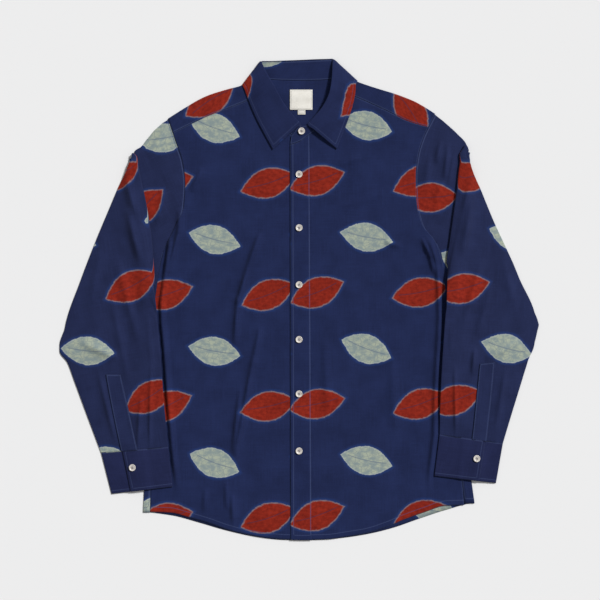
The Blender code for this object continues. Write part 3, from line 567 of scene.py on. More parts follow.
@dataclass(frozen=True)
class PrintedCloth:
    """Indigo slub cotton with a hand-blocked leaf print in rust and pale grey-green.

    Attributes:
        name: Material's name.
        ground: Ground colour.
        painted_shade: Factor on every colour: painted shade, for cloth whose inner side shows in the shadow
            of the neck.
        printed: Whether the piece is cut where the cloth has leaves.
        sewn: How strongly thread, ridge and worn borders show.
        facing: Middle x, y and half sizes of an oval that is faced with unprinted cloth.
        thread: Colour of the sewing thread.
        CELL: Width and height of the print's repeat, mm.
        RUST_LEAF, PALE_LEAF: Half length and half width of a leaf, mm.
        PALE_PLACE: Middle of a pale leaf from the middle of a rust one, mm.
        RUST_TILT, PALE_TILT: Turn of a leaf, radians.
        STITCH: Length of a stitch with its gap, mm.
    """

    name: str
    ground: Colour = ink(25, 35, 73)
    painted_shade: float = 1.0
    printed: bool = True
    sewn: float = 1.0
    facing: Box | None = None
    thread: Colour = ink(62, 74, 112)

    CELL = (170.0, 184.0)
    RUST_LEAF = (47.0, 24.0)
    PALE_LEAF = (43.0, 23.0)
    PALE_PLACE = (-88.5, -93.0)
    RUST_TILT = 0.30
    PALE_TILT = -0.26
    STITCH = 2.6

    def leaf(
        self, place: Place, centre: Pair, size: Pair, tilt: float, wobble: Num
    ) -> tuple[Num, Num]:
        """Distance from the edge of the nearest leaf, and from its vein.

        The plane repeats in cells. In a cell turned by tilt, a leaf is where |y| is under
        b(1 - (x/a)²); the difference over the length of its gradient is close to the distance.

        Args:
            place: Place on the cloth, mm.
            centre: Middle of one leaf.
            size: Half length and half width of a leaf, mm.
            tilt: Turn of the leaf, radians.
            wobble: Unevenness of the printed edge, mm.

        Returns:
            Distance from the edge, negative inside, and distance from the vein, both in mm.
        """
        u, v = place[0] - centre[0], place[1] - centre[1]
        column, row = (u / self.CELL[0]).rounded(), (v / self.CELL[1]).rounded()
        a, b = u - column * self.CELL[0], v - row * self.CELL[1]
        turn = (column * 2.3 + row * 4.1).sin() * 0.10 + tilt
        x = a * turn.cos() + b * turn.sin()
        y = b * turn.cos() - a * turn.sin()
        length, width = size
        share = x / length
        slope = share * (2.0 * width / length)
        edge = (abs(y) - (1.0 - share * share) * width) / (slope * slope + 1.0).root() + wobble
        vein = abs(y - x * x * 0.0022) + (abs(x) - length * 0.72).most(0.0) * 0.3
        return edge, vein

    def build(self) -> Material:
        """Make the material.

        Returns:
            The material.
        """
        bench = Bench(self.name, 0.88)
        u, v = bench.map("Cloth")
        stitch, run = bench.map("Stitch")
        edge, _ = bench.map("Edge")
        warp = bench.noise(u, v, (0.9, 46.0), 3.0, 1.0)
        weft = bench.noise(u, v, (38.0, 0.8), 3.0, 5.0)
        patchy = bench.noise(u, v, (34.0, 40.0), 3.0, 9.0)
        grain = bench.noise(u, v, (2.6, 2.6), 2.0, 13.0)
        slub = warp * 0.5 + weft * 0.5
        ground = self.ground
        dark = tuple(value * 0.74 for value in ground)
        light = tuple(value * factor for value, factor in zip(ground, (1.42, 1.38, 1.28)))
        tone = (slub - 0.5) * 1.5 + (patchy - 0.5) * 0.9 + (grain - 0.5) * 0.35 + 0.5
        colour = bench.mix(tone.step(0.0, 1.0), dark, light)
        if self.printed:
            wobble = (bench.noise(u, v, (9.0, 9.0), 2.0, 21.0) - 0.5) * 3.4 + (grain - 0.5) * 1.8
            rust, rust_vein = self.leaf((u, v), (0.0, 0.0), self.RUST_LEAF, self.RUST_TILT, wobble)
            pale, pale_vein = self.leaf((u, v), self.PALE_PLACE, self.PALE_LEAF, self.PALE_TILT, wobble)
            if self.facing:
                x, y, half_width, half_height = self.facing
                across, along = (u - x) / half_width, (v - y) / half_height
                faced = (across * across + along * along).root().step(1.0, 0.96) * 200.0
                rust, pale = rust + faced, pale + faced
            glow = rust.least(pale).step(6.5, 0.5) * 0.62
            colour = bench.mix(glow, colour, ink(30, 56, 112))
            colour = self.rust_leaf(bench, colour, (rust, rust_vein), (slub, patchy), (u, v))
            colour = self.pale_leaf(bench, colour, (pale, pale_vein), slub, (u, v))
        colour = self.sewing(bench, colour, (stitch, run, edge), slub)
        # Painted shade: every colour darkened by one factor.
        if self.painted_shade != 1.0:
            colour = bench.mix(1.0, colour, (self.painted_shade,) * 3, "MULTIPLY")
        finish = {"Base Color": colour, "Roughness": slub * 0.12 + 0.80, "Specular IOR Level": 0.12}
        weave = (u * (2 * math.pi / 0.62)).sin() * (v * (2 * math.pi / 0.62)).sin()
        waves = (run * (2 * math.pi / self.STITCH)).sin() * 0.25 - 0.35
        pucker = (1.0 - abs(stitch).step(0.2, 1.6)) * waves
        height = weave * 0.05 + slub * 0.22 + pucker * 0.5 + edge.step(0.0, 1.2) * 0.1
        bench.dress({**finish, "Sheen Weight": 0.04, "Sheen Roughness": 0.5}, height, 0.55)
        return bench.material

    def rust_leaf(
        self,
        bench: Bench,
        colour: object,
        leaf: tuple[Num, Num],
        noises: tuple[Num, Num],
        place: Place,
    ) -> object:
        """Mottled rust leaves with a thin greyed outline and a resist vein.

        Args:
            bench: Node tree.
            colour: Colour so far.
            leaf: Distances from the leaf's edge and its vein, mm.
            noises: Thread noise and broad noise.
            place: Place on the cloth, mm.

        Returns:
            Colour with the leaves.
        """
        edge, vein = leaf
        slub, patchy = noises
        blot = bench.noise(place[0], place[1], (7.0, 5.0), 4.0, 31.0)
        tone = (blot * 0.9 + slub * 0.5 + patchy * 0.4 - 0.4).step(0.1, 0.95)
        rust = bench.mix(tone, ink(98, 20, 12), ink(150, 42, 24))
        rust = bench.mix(blot.step(0.66, 0.78) * 0.5, rust, ink(60, 34, 52))
        rust = bench.mix(vein.step(1.3, 0.5) * 0.55, rust, ink(66, 40, 60))
        colour = bench.mix(edge.step(0.6, -0.4), colour, rust)
        rim = edge.step(1.5, 0.3) * edge.step(-1.9, -0.4) * (blot.step(0.25, 0.6) * 0.6 + 0.25)
        return bench.mix(rim, colour, ink(122, 110, 114))

    def pale_leaf(
        self, bench: Bench, colour: object, leaf: tuple[Num, Num], slub: Num, place: Place
    ) -> object:
        """Pale grey-green leaves with fine crackle and warmer patches.

        Args:
            bench: Node tree.
            colour: Colour so far.
            leaf: Distances from the leaf's edge and its vein, mm.
            slub: Thread noise.
            place: Place on the cloth, mm.

        Returns:
            Colour with the leaves.
        """
        edge, vein = leaf
        blot = bench.noise(place[0], place[1], (11.0, 8.0), 3.0, 47.0)
        pale = bench.mix(blot.step(0.38, 0.62), ink(128, 141, 140), ink(160, 168, 150))
        pale = bench.mix((slub - 0.42).step(0.0, 0.3) * 0.3, pale, ink(118, 130, 142))
        crack = bench.add("ShaderNodeCombineXYZ", {}, {0: place[0] / 9.0, 1: place[1] / 7.0, 2: 0.0})
        settings = {"feature": "DISTANCE_TO_EDGE", "voronoi_dimensions": "2D"}
        cells = bench.number("ShaderNodeTexVoronoi", settings, {"Vector": crack.outputs[0], "Scale": 1.0})
        lines = cells.step(0.07, 0.01) * blot.step(0.46, 0.58) * 0.5
        pale = bench.mix(lines, pale, ink(74, 88, 118))
        pale = bench.mix(vein.step(1.2, 0.4) * 0.6, pale, ink(86, 100, 122))
        colour = bench.mix(edge.step(0.7, -0.5), colour, pale)
        rim = edge.step(1.2, 0.2) * edge.step(-1.2, -0.2) * 0.35
        return bench.mix(rim, colour, ink(196, 202, 196))

    def sewing(self, bench: Bench, colour: object, seam: tuple[Num, Num, Num], slub: Num) -> object:
        """Lines of thread, the paler ridge beside them, and borders faded by wear.

        Args:
            bench: Node tree.
            colour: Colour so far.
            seam: Distance from the thread, run along it, distance from the border, mm.
            slub: Thread noise.

        Returns:
            Colour with the sewing.
        """
        stitch, run, edge = seam
        worn = edge.step(1.5, 0.2) * slub.step(0.35, 0.6) * (0.35 * self.sewn)
        colour = bench.mix(worn, colour, ink(84, 98, 132))
        ridge = abs(stitch - 0.2).step(1.5, 0.3) * (0.22 * self.sewn)
        colour = bench.mix(ridge, colour, ink(70, 82, 118))
        dash = (run / self.STITCH).fraction()
        line = abs(stitch).step(0.42, 0.22) * dash.step(0.84, 0.78) * (0.4 + 0.6 * self.sewn)
        return bench.mix(line, colour, self.thread)


@dataclass(frozen=True)
class LabelCloth:
    """Bare off-white twill of the neck label, with a stitched rim."""

    name: str
    tone: Colour = ink(232, 229, 221)

    def build(self) -> Material:
        """Make the material: diagonal twill lines, soft soiling and a line of thread.

        Returns:
            The material.
        """
        bench = Bench(self.name, 0.8)
        u, v = bench.map("Cloth")
        stitch, run = bench.map("Stitch")
        soil = bench.noise(u, v, (14.0, 12.0), 3.0, 3.0)
        twill = ((u + v) * (2 * math.pi / 0.7)).sin()
        colour = bench.mix(soil.step(0.3, 0.75) * 0.35, self.tone, ink(205, 199, 188))
        dash = (run / 2.2).fraction()
        line = abs(stitch).step(0.4, 0.2) * dash.step(0.8, 0.74)
        colour = bench.mix(line, colour, ink(168, 164, 158))
        pucker = (1.0 - abs(stitch).step(0.2, 1.4)) * -0.3
        bench.dress({"Base Color": colour, "Roughness": soil * 0.15 + 0.72}, twill * 0.05 + pucker, 0.5)
        return bench.material


@dataclass(frozen=True)
class ButtonShell:
    """Polished shell with a cloudy swirl, brown-grey towards its middle."""

    name: str

    def build(self) -> Material:
        """Make the material.

        Returns:
            The material.
        """
        bench = Bench(self.name, 0.22)
        u, v = bench.map("Cloth")
        radius = (u * u + v * v).root()
        cloud = bench.noise(u + radius * 0.6, v, (2.6, 1.3), 3.0, 2.0)
        colour = bench.mix(cloud.step(0.35, 0.7), ink(232, 228, 220), ink(176, 166, 158))
        colour = bench.mix(radius.step(4.2, 1.5) * 0.45, colour, ink(128, 116, 110))
        finish = {"Base Color": colour, "Roughness": cloud * 0.2 + 0.16}
        bench.dress({**finish, "Coat Weight": 0.4, "Coat Roughness": 0.1}, cloud * 0.06, 0.3)
        return bench.material


@dataclass(frozen=True)
class SewingThread:
    """Twisted cotton thread that holds a button."""

    name: str

    def build(self) -> Material:
        """Make the material: strands that wind round the thread, with painted shade in the grooves between
        them.

        Returns:
            The material.
        """
        bench = Bench(self.name, 0.75)
        u, v = bench.map("Cloth")
        strand = ((u * 2.0 + v * 6.0) * 2.4).sin()
        # Painted shade: the thread is darker where its strand wave, and so its bump, is low.
        colour = bench.mix(strand.step(-0.6, 0.8), ink(44, 50, 78), ink(84, 92, 124))
        bench.dress({"Base Color": colour}, strand * 0.08, 0.5)
        return bench.material


@dataclass(frozen=True)
class Folds:
    """Soft creases that stand up from laid cloth.

    Attributes:
        rows: Columns: x, y of one end, x, y of the other, half width and height, mm.
        swell: Height of the broad unevenness of cloth that was never pressed flat, mm.
        RISE: Factor on the height of every crease.
    """

    rows: Table
    swell: float

    RISE = 2.4

    def height(self, plan: Array) -> Array:
        """Height of the cloth over its flat place.

        A crease adds RISE·h / (1 + (d/w)²)^1.5 at distance d from its line, tapered by a sine along it;
        the unevenness is a sum of three products of sines, moved up so that it is never negative.

        Args:
            plan: Points in plan, mm.

        Returns:
            Height of each point, mm.
        """
        x, y = plan[..., 0], plan[..., 1]
        waves = np.sin(x / 31.0 + 1.3 * np.sin(y / 57.0)) * np.sin(y / 43.0 + 0.8)
        waves = waves + 0.7 * np.sin(x / 17.0 - y / 71.0 + 2.0) * np.sin(y / 29.0 + x / 93.0)
        waves = waves + 0.5 * np.sin((x + 2.2 * y) / 47.0 + 0.4)
        total = self.swell * (0.5 + waves / 4.4)
        for x0, y0, x1, y1, width, height in self.rows:
            reach = np.array([x1 - x0, y1 - y0])
            share = np.clip(((x - x0) * reach[0] + (y - y0) * reach[1]) / (reach @ reach), 0.0, 1.0)
            distance = np.hypot(x - x0 - share * reach[0], y - y0 - share * reach[1])
            crest = self.RISE * height / (1.0 + (distance / width) ** 2) ** 1.5
            total = total + crest * (0.15 + 0.85 * np.sin(math.pi * share) ** 0.7)
        return total


@dataclass(frozen=True)
class NeckLine:
    """Sections of the collar, which the body's neck edge follows too.

    Attributes:
        rows: One row per section, from the under end at the front round the back to the top end.
            Columns: neck seam x, y, z; roll line x, y, z; leaf edge x, y, z; turn in degrees.
        leaf: First and last section that carries the leaf.
        front: Sections where the fronts meet the yoke, right and left.
        back: Sections where the yoke's two folds meet the neck, right and left.
        lift: Height, half width, lowest y and ramp of the rise over the collar behind the neck.
    """

    rows: Table = (
        (11.0, 257.2, 2.1, 10.5, 273.0, 2.1, math.nan, math.nan, math.nan, 0),
        (1.0, 261.0, 2.1, 6.0, 284.0, 2.5, math.nan, math.nan, math.nan, 0),
        (-10.0, 268.0, 2.1, 0.0, 288.5, 4.2, -45.4, 247.4, 4.0, 0),
        (-24.0, 279.0, 2.1, -14.0, 303.0, 8.0, -58.5, 271.5, 4.0, 0),
        (-40.0, 293.0, 2.1, -29.0, 323.0, 11.0, -71.4, 296.0, 4.0, 0),
        (-57.0, 316.0, 2.1, -43.0, 348.0, 11.5, -82.5, 321.0, 4.0, 0),
        (-72.0, 338.0, 2.1, -56.0, 371.0, 9.0, -89.5, 339.5, 4.6, 0),
        (-80.0, 353.0, 2.0, -63.0, 385.5, 6.0, -92.3, 347.0, 5.1, 30),
        (-82.0, 362.3, 1.3, -64.6, 389.6, 3.8, -96.0, 353.4, 3.0, 90),
        (-79.5, 363.2, 0.85, -63.6, 390.2, 2.6, -94.2, 353.2, 0.7, 130),
        (-74.0, 363.8, 0.5, -63.0, 391.6, 1.9, -90.5, 353.0, 0.5, 165),
        (-60.0, 363.4, 0.5, -52.0, 391.8, 1.8, -75.0, 348.0, 0.5, 180),
        (-30.0, 361.5, 0.5, -27.0, 392.6, 1.8, -38.0, 346.5, 0.5, 180),
        (0.0, 361.0, 0.5, 0.0, 393.6, 1.8, 0.0, 346.0, 0.5, 180),
        (30.0, 361.5, 0.5, 27.0, 394.8, 1.8, 38.0, 347.0, 0.5, 180),
        (60.0, 364.4, 0.5, 46.0, 395.4, 1.8, 73.0, 350.0, 0.5, 180),
        (70.0, 366.6, 0.5, 53.5, 395.5, 1.9, 88.5, 357.5, 0.5, 165),
        (75.0, 367.6, 0.95, 53.4, 394.0, 2.6, 92.4, 360.2, 0.7, 130),
        (77.0, 367.3, 1.3, 54.2, 393.0, 3.8, 94.4, 360.2, 3.0, 90),
        (76.5, 355.0, 2.0, 53.6, 385.5, 6.0, 91.4, 354.5, 5.1, 30),
        (69.0, 339.0, 2.1, 53.0, 365.0, 9.5, 91.0, 345.0, 4.6, 0),
        (56.0, 317.0, 2.1, 49.5, 343.0, 12.0, 88.6, 329.6, 4.0, 0),
        (41.0, 294.0, 2.1, 39.0, 319.0, 11.5, 82.0, 306.0, 4.0, 0),
        (26.0, 280.0, 2.2, 25.0, 301.0, 9.5, 71.5, 277.0, 4.0, 0),
        (11.0, 269.0, 3.1, 12.0, 287.5, 7.2, 60.2, 248.2, 4.0, 0),
        (-3.0, 259.8, 3.4, -1.0, 285.0, 5.6, math.nan, math.nan, math.nan, 0),
        (-17.0, 255.0, 3.4, -15.0, 269.0, 4.6, math.nan, math.nan, math.nan, 0),
    )
    leaf: tuple[int, int] = (2, 24)
    front: tuple[int, int] = (6, 20)
    back: tuple[int, int] = (8, 18)
    lift: Box = (1.3, 101.0, 337.0, 14.0)

    def seam(self, first: int, last: int) -> Array:
        """Plan points of the neck seam from one section to another, in that order."""
        order = range(first, last + 1) if first < last else range(first, last - 1, -1)
        return np.array([self.rows[n][:2] for n in order])

    def along(self, first: int, last: int, shares: Array) -> Array:
        """Plan points at shares of the way between two sections.

        Args:
            first: Section at share 0.
            last: Section at share 1.
            shares: Shares wanted.

        Returns:
            Plan points.
        """
        sections = np.array([row[:2] for row in self.rows[first : last + 1]])
        place = np.asarray(shares) * (last - first)
        knots = range(last - first + 1)
        return np.stack([np.interp(place, knots, sections[:, k]) for k in range(2)], axis=-1)

    def raised(self, plan: Array, height: float | Array) -> Array:
        """Points of a body layer, risen over the collar that lies behind the neck.

        The rise falls from its full height by a smooth step of the distance outside a rectangle.

        Args:
            plan: Plan points.
            height: Height of the layer elsewhere.

        Returns:
            Points with their heights.
        """
        rise, half_x, from_y, ramp = self.lift
        beyond = np.maximum(np.abs(plan[..., 0]) - half_x, 0.0)
        below = np.maximum(from_y - plan[..., 1], 0.0)
        z = height + rise * (1.0 - ease(np.hypot(beyond, below) / ramp))
        return np.concatenate([plan, np.broadcast_to(z, plan.shape[:-1])[..., None]], axis=-1)


@dataclass
class Body:
    """Back, yoke, two fronts and button placket.

    Attributes:
        neck: Neck line that the collar stands on.
        side_edges: Columns: x, y of the outline down each side, from the underarm to the hem.
        hem: Columns: x, y of the back's hem.
        hem_rise: Columns: x, how much higher the fronts' hem lies.
        wrap: Width of the back's strip on the front at the underarm, right hem and left hem.
        armholes: Columns: x, y of each armhole seam, from the shoulder to the underarm.
        arm_shares: Shares of the armhole where pieces have their rows.
        yoke_rows: Shares of the yoke's rows behind the shoulders.
        shoulders: Columns: x, y of each shoulder fold, from the neck to the armhole.
        yoke_seams: Columns: x, y of the seam between yoke and front, from the neck outwards.
        anchors: Middle of a rust leaf on the right front and on the left one.
        back_anchor: Place on its cloth of the back's point at the shirt's middle.
        yoke_anchor: Middle of a rust leaf on the yoke.
        yoke_facing: Middle x, y and half sizes of the yoke's unprinted oval.
        folds: Creases of the fronts.
        beside: Height, distance inward and half width of the swell beside each sleeve.
        underarm: y below which a sleeve lies on the body.
        collar_oval: Middle x, y and half sizes of the level place under the collar.
        sleeve_edges: Columns: y, distance from the middle, of where the fronts go under a sleeve
            or end at their side fold.
        cloth_thickness: Thickness of one layer.
    """

    neck: NeckLine
    side_edges: dict[Side, Table] = field(default_factory=lambda: {
        Side.RIGHT: (
            (-228.5, 78.0), (-232.0, 62.0), (-239.5, 31.0), (-245.0, 8.0), (-249.0, -120.0),
            (-259.5, -350.7),
        ),
        Side.LEFT: (
            (226.0, 93.0), (232.5, 76.5), (240.5, 50.0), (246.0, 15.0), (258.0, -120.0), (287.6, -335.5),
        ),
    })
    hem: Table = (
        (-259.5, -350.7), (-234.5, -350.7), (-191.9, -360.3), (-145.0, -374.0), (-111.0, -383.8),
        (-71.4, -391.6), (-39.4, -395.9), (0.0, -397.0), (40.4, -396.6), (106.4, -387.5),
        (146.4, -378.4), (178.5, -367.5), (232.0, -348.7), (287.6, -335.5),
    )
    hem_rise: Table = (
        (-250.0, 0.5), (-215.0, 4.0), (-145.0, 4.0), (-105.0, 1.0), (100.0, 1.0), (175.0, 8.0),
        (235.0, 8.0), (270.0, 1.0),
    )
    wrap: tuple[float, float, float] = (2.0, 11.5, 17.5)
    armholes: dict[Side, Table] = field(default_factory=lambda: {
        Side.RIGHT: (
            (-218.3, 298.7), (-203.3, 254.7), (-192.2, 220.0), (-190.0, 195.0), (-191.9, 156.2),
            (-204.1, 124.5), (-229.0, 80.5),
        ),
        Side.LEFT: (
            (222.3, 306.7), (203.3, 269.0), (192.7, 232.2), (190.0, 200.0), (191.5, 165.0), (199.7, 127.3),
            (225.5, 95.5),
        ),
    })
    arm_shares: tuple[float, ...] = (0.11, 0.18, 0.32, 0.48, 0.65, 0.83, 1.0)
    yoke_rows: tuple[float, ...] = (0.0, 0.1, 0.2, 0.3, 0.42, 0.7, 1.0)
    shoulders: dict[Side, Table] = field(default_factory=lambda: {
        Side.RIGHT: (
            (-82.0, 362.3), (-97.5, 353.0), (-125.6, 345.6), (-159.2, 334.0), (-191.6, 315.6),
            (-218.3, 298.7),
        ),
        Side.LEFT: (
            (77.0, 367.3), (94.0, 359.5), (125.0, 349.0), (156.6, 339.3), (191.4, 325.5), (222.3, 306.7),
        ),
    })
    yoke_seams: dict[Side, Table] = field(default_factory=lambda: {
        Side.RIGHT: ((-72.0, 338.0), (-94.5, 325.0), (-150.6, 303.0), (-192.2, 283.5), (-211.2, 276.8)),
        Side.LEFT: ((69.0, 339.0), (93.0, 333.0), (143.9, 310.3), (180.0, 293.0), (211.0, 285.0)),
    })
    anchors: dict[Side, Pair] = field(
        default_factory=lambda: {Side.RIGHT: (-53.0, 192.0), Side.LEFT: (27.5, 196.0)}
    )
    back_anchor: Pair = (40.0, -113.0)
    yoke_anchor: Pair = (-150.0, 330.0)
    yoke_facing: Box = (152.0, -10.0, 80.0, 90.0)
    folds: Folds = Folds(
        (
            (-66.5, 108.0, -88.0, 48.0, 5.0, 3.4), (-86.0, 52.0, -104.0, -8.0, 4.5, 4.4),
            (-102.0, 4.0, -108.0, -72.0, 4.5, 3.6), (-66.0, -48.0, -79.0, -110.0, 4.5, 2.6),
            (-77.0, -98.0, -97.0, -205.0, 4.5, 3.4), (-93.0, -190.0, -108.0, -256.0, 4.5, 3.6),
            (-99.0, -150.0, -111.0, -250.0, 3.5, 2.8), (-112.0, -320.0, -110.0, -376.0, 4.5, 2.6),
            (-155.0, -312.0, -158.0, -350.0, 5.0, 2.0), (-122.0, -300.0, -121.0, -344.0, 4.0, 1.8),
            (-161.0, 216.0, -180.0, 178.0, 6.0, 2.2), (-198.0, 150.0, -200.0, 108.0, 6.0, 2.8),
            (-199.0, 116.0, -217.0, 44.0, 5.0, 3.6), (201.0, 100.0, 215.0, 70.0, 3.5, 3.2),
            (213.0, 76.0, 221.0, 44.0, 3.5, 3.0), (208.0, 103.0, 224.0, 62.0, 4.0, 2.4),
            (0.0, 222.0, 42.0, 250.0, 4.5, 2.6), (50.0, 220.0, 100.0, 236.0, 8.0, 1.4),
            (140.0, 96.0, 164.0, 88.0, 6.0, 1.8), (-236.0, 262.0, -218.0, 292.0, 5.0, 3.0),
            (-262.0, 238.0, -230.0, 262.0, 5.0, 3.4), (-222.0, 180.0, -238.0, 120.0, 7.0, 2.4),
            (232.0, 262.0, 224.0, 226.0, 4.5, 3.6), (244.0, 256.0, 238.0, 200.0, 4.0, 4.2),
            (258.0, 250.0, 244.0, 186.0, 5.0, 4.4), (236.0, 196.0, 222.0, 160.0, 6.0, 2.6),
            (214.0, 236.0, 206.0, 190.0, 6.0, 2.0), (40.0, -60.0, 46.0, -200.0, 8.0, 1.4),
            (150.0, -90.0, 158.0, -230.0, 9.0, 1.2), (60.0, 150.0, 140.0, 176.0, 10.0, 1.0),
        ),
        1.6,
    )
    beside: tuple[float, float, float] = (6.5, 7.5, 4.0)
    underarm: float = 104.0
    collar_oval: Box = (3.0, 305.0, 108.0, 78.0)
    sleeve_edges: dict[Side, Table] = field(default_factory=lambda: {
        Side.RIGHT: (
            (-308.0, 210.5), (-243.5, 217.5), (-170.0, 224.0), (-115.0, 228.0), (-80.0, 230.5),
            (-40.0, 234.5), (-6.0, 236.0), (30.0, 231.0), (66.0, 226.5), (96.0, 222.0),
        ),
        Side.LEFT: (
            (-290.0, 220.6), (-223.0, 228.9), (-165.0, 230.0), (-110.0, 232.5), (-80.0, 234.5),
            (-30.0, 237.0), (15.0, 236.0), (50.0, 234.0), (76.0, 229.0), (96.0, 224.0),
        ),
    })
    cloth_thickness: float = 0.7

    def armhole(self, side: Side, shares: Array) -> Array:
        """Plan points along an armhole seam."""
        return spline(self.armholes[side], shares)

    def side_edge(self, side: Side, shares: Array) -> Array:
        """Plan points along a side fold."""
        return spline(self.side_edges[side], shares)

    def hem_y(self, x: Array | float, front: bool) -> Array:
        """Hem's place in plan at x.

        Args:
            x: Places across the body.
            front: Whether the fronts' hem is meant.

        Returns:
            y of the hem at each place.
        """
        rows, rise = np.array(self.hem), np.array(self.hem_rise)
        y = np.interp(x, rows[:, 0], rows[:, 1])
        return y + np.interp(x, rise[:, 0], rise[:, 1]) if front else y

    def side_rows(self) -> Array:
        """Shares along the side fold of the rows below the underarm."""
        return np.linspace(0.0, 1.0, 10)

    def wrap_width(self, side: Side, shares: Array) -> Array:
        """Width of the back's strip on the front at shares of the side fold."""
        top, right, left = self.wrap
        return top + ((right if side is Side.RIGHT else left) - top) * shares

    def relief(self, plan: Array) -> Array:
        """Height of the front's folds, level under the collar, beneath the sleeves and at the hem.

        The folds and a Gaussian swell that runs beside each sleeve, times a smooth step for each
        of these three places.

        Args:
            plan: Plan points.

        Returns:
            Heights, mm.
        """
        x, y = plan[..., 0], plan[..., 1]
        height, inward, width = self.beside
        clear_side = np.ones_like(x)
        swell = np.zeros_like(x)
        for side in Side:
            table = np.array(self.sleeve_edges[side])
            left = np.interp(y, table[:, 0], table[:, 1]) - side.value * x
            below = ease((self.underarm - y) / 16.0)
            clear_side = clear_side * (1.0 - below * (1.0 - ease((left - 1.0) / 6.0)))
            ends = below * ease((y + 320.0) / 60.0)
            swell = swell + height * np.exp(-(((left - inward) / width) ** 2)) * ends
        oval_x, oval_y, half_width, half_height = self.collar_oval
        around = np.hypot((x - oval_x) / half_width, (y - oval_y) / half_height)
        clear_collar = ease((around - 1.0) / 0.28)
        clear_hem = 0.25 + 0.75 * ease((y - self.hem_y(x, True)) / 40.0)
        return (self.folds.height(plan) + swell) * clear_side * clear_collar * clear_hem

    def folded(self, sheet: Sheet) -> Sheet:
        """A fine sheet raised by the front's folds, each point by its own share."""
        sheet.points[..., 2] += sheet.lift * self.relief(sheet.points[..., :2])
        return sheet

    def back_seam_y(self, x: Array, ends: dict[Side, Array]) -> Array:
        """Back yoke seam at x: straight lines from each armhole to the middle."""
        right, left = ends[Side.RIGHT], ends[Side.LEFT]
        return np.interp(x, (right[0], 0.0, left[0]), (right[1], 260.0, left[1]))

    def wrap_strip(self, side: Side, edge: Array, upper_rows: int) -> Array:
        """Fold and front strip of the back down one side: a half circle, then a level strip.

        Args:
            side: Which side.
            edge: Edge of the flat panel.
            upper_rows: Rows above the underarm, which have no strip.

        Returns:
            Columns of points from the flat panel outwards.
        """
        wrap = np.concatenate([np.zeros(upper_rows), self.wrap_width(side, self.side_rows())])
        columns = []
        for angle in np.linspace(0.0, math.pi, FOLD_STEPS + 1)[1:]:
            plan = edge + np.array([side.value * FOLD_R * math.sin(angle), 0.0])
            columns.append(self.neck.raised(plan, (BACK_Z + FRONT_Z) / 2 - FOLD_R * math.cos(angle)))
        strip = edge.copy()
        strip[:, 0] -= side.value * np.maximum(wrap - HALF_TUBE, 0.5)
        columns.append(self.neck.raised(strip, FRONT_Z))
        return np.stack(columns, axis=1)

    def back(self) -> Sheet:
        """Back panel with the strips that wrap onto the front down both sides.

        Returns:
            Coarse sheet.
        """
        shares = self.arm_shares[1:-1]
        edges = {}
        for side in Side:
            upper = self.armhole(side, np.array(shares))
            lower = self.side_edge(side, self.side_rows())
            lower[:, 0] -= side.value * HALF_TUBE
            edges[side] = np.vstack([upper, lower])
        right, left = edges[Side.RIGHT], edges[Side.LEFT]
        top_x = np.linspace(right[0, 0], left[0, 0], 13)
        top = np.stack([top_x, self.back_seam_y(top_x, {side: edges[side][0] for side in Side})], axis=-1)
        hem_x = np.linspace(right[-1, 0], left[-1, 0], 13)
        bottom = np.stack([hem_x, self.hem_y(hem_x, False)], axis=-1)
        right[-1, 1], left[-1, 1] = bottom[0, 1], bottom[-1, 1]
        flat = self.neck.raised(patch(top, bottom, right, left), BACK_Z)
        turns = {side: self.wrap_strip(side, edges[side], len(shares)) for side in Side}
        grid = np.concatenate([turns[Side.RIGHT][:, ::-1], flat, turns[Side.LEFT]], axis=1)
        extra = turns[Side.RIGHT].shape[1]
        present = np.ones((grid.shape[0] - 1, grid.shape[1] - 1), dtype=bool)
        present[: len(shares), :extra] = False
        present[: len(shares), -extra:] = False
        across = run_along(grid, 1)
        middle = grid.shape[1] // 2
        cloth = np.stack([across - across[:, middle : middle + 1], grid[..., 1]], axis=-1)
        cloth = cloth + np.array(self.back_anchor)
        lift = np.zeros(grid.shape[:2])
        lift[:, :2] = lift[:, -2:] = 1.0
        stitched = {Border.LAST_ROW: 8.0, Border.FIRST_COL: 2.0, Border.LAST_COL: 2.0}
        return Sheet(grid, cloth, lift, present, stitched)

    def front(self, side: Side) -> Sheet:
        """One front: neck and centre edge on one side, armhole and side seam on the other.

        Args:
            side: Which front.

        Returns:
            Coarse sheet.
        """
        outer_upper = self.armhole(side, np.array(self.arm_shares[:-1]))
        upper_rows = len(outer_upper)
        shares = self.side_rows()
        outer_lower = self.side_edge(side, shares)
        outer_lower[:, 0] -= side.value * np.maximum(self.wrap_width(side, shares), HALF_TUBE + 0.5)
        outer = np.vstack([outer_upper, outer_lower])
        if side is Side.RIGHT:
            centre_x = self.neck.rows[0][0]
            neck = self.neck.seam(self.neck.front[0], 0)
        else:
            centre_x = self.neck.rows[0][0] + 2 * SEAM
            neck = self.neck.seam(self.neck.front[1], self.neck.leaf[1])
            neck[-1] += (2 * SEAM, SEAM)
        upper_y = np.linspace(neck[-1, 1], outer[upper_rows, 1], upper_rows - len(neck) + 2)[1:]
        lower_y = np.linspace(outer[upper_rows, 1], float(self.hem_y(centre_x, True)), len(shares))[1:]
        centre = np.array([(centre_x, y) for y in np.concatenate([upper_y, lower_y])])
        inner = np.vstack([neck, centre])
        top = spline(self.yoke_seams[side], np.linspace(1.0, 0.0, 9))
        top[0], inner[0] = outer[0], top[-1]
        hem_x = np.linspace(outer[-1, 0], centre_x, 9)
        bottom = np.stack([hem_x, self.hem_y(hem_x, True)], axis=-1)
        outer[-1] = bottom[0]
        grid = self.neck.raised(patch(top, bottom, outer, inner), FRONT_Z)
        cloth = grid[..., :2] - np.array(self.anchors[side])
        return Sheet(grid, cloth, 1.0, None, {Border.LAST_ROW: 8.0})

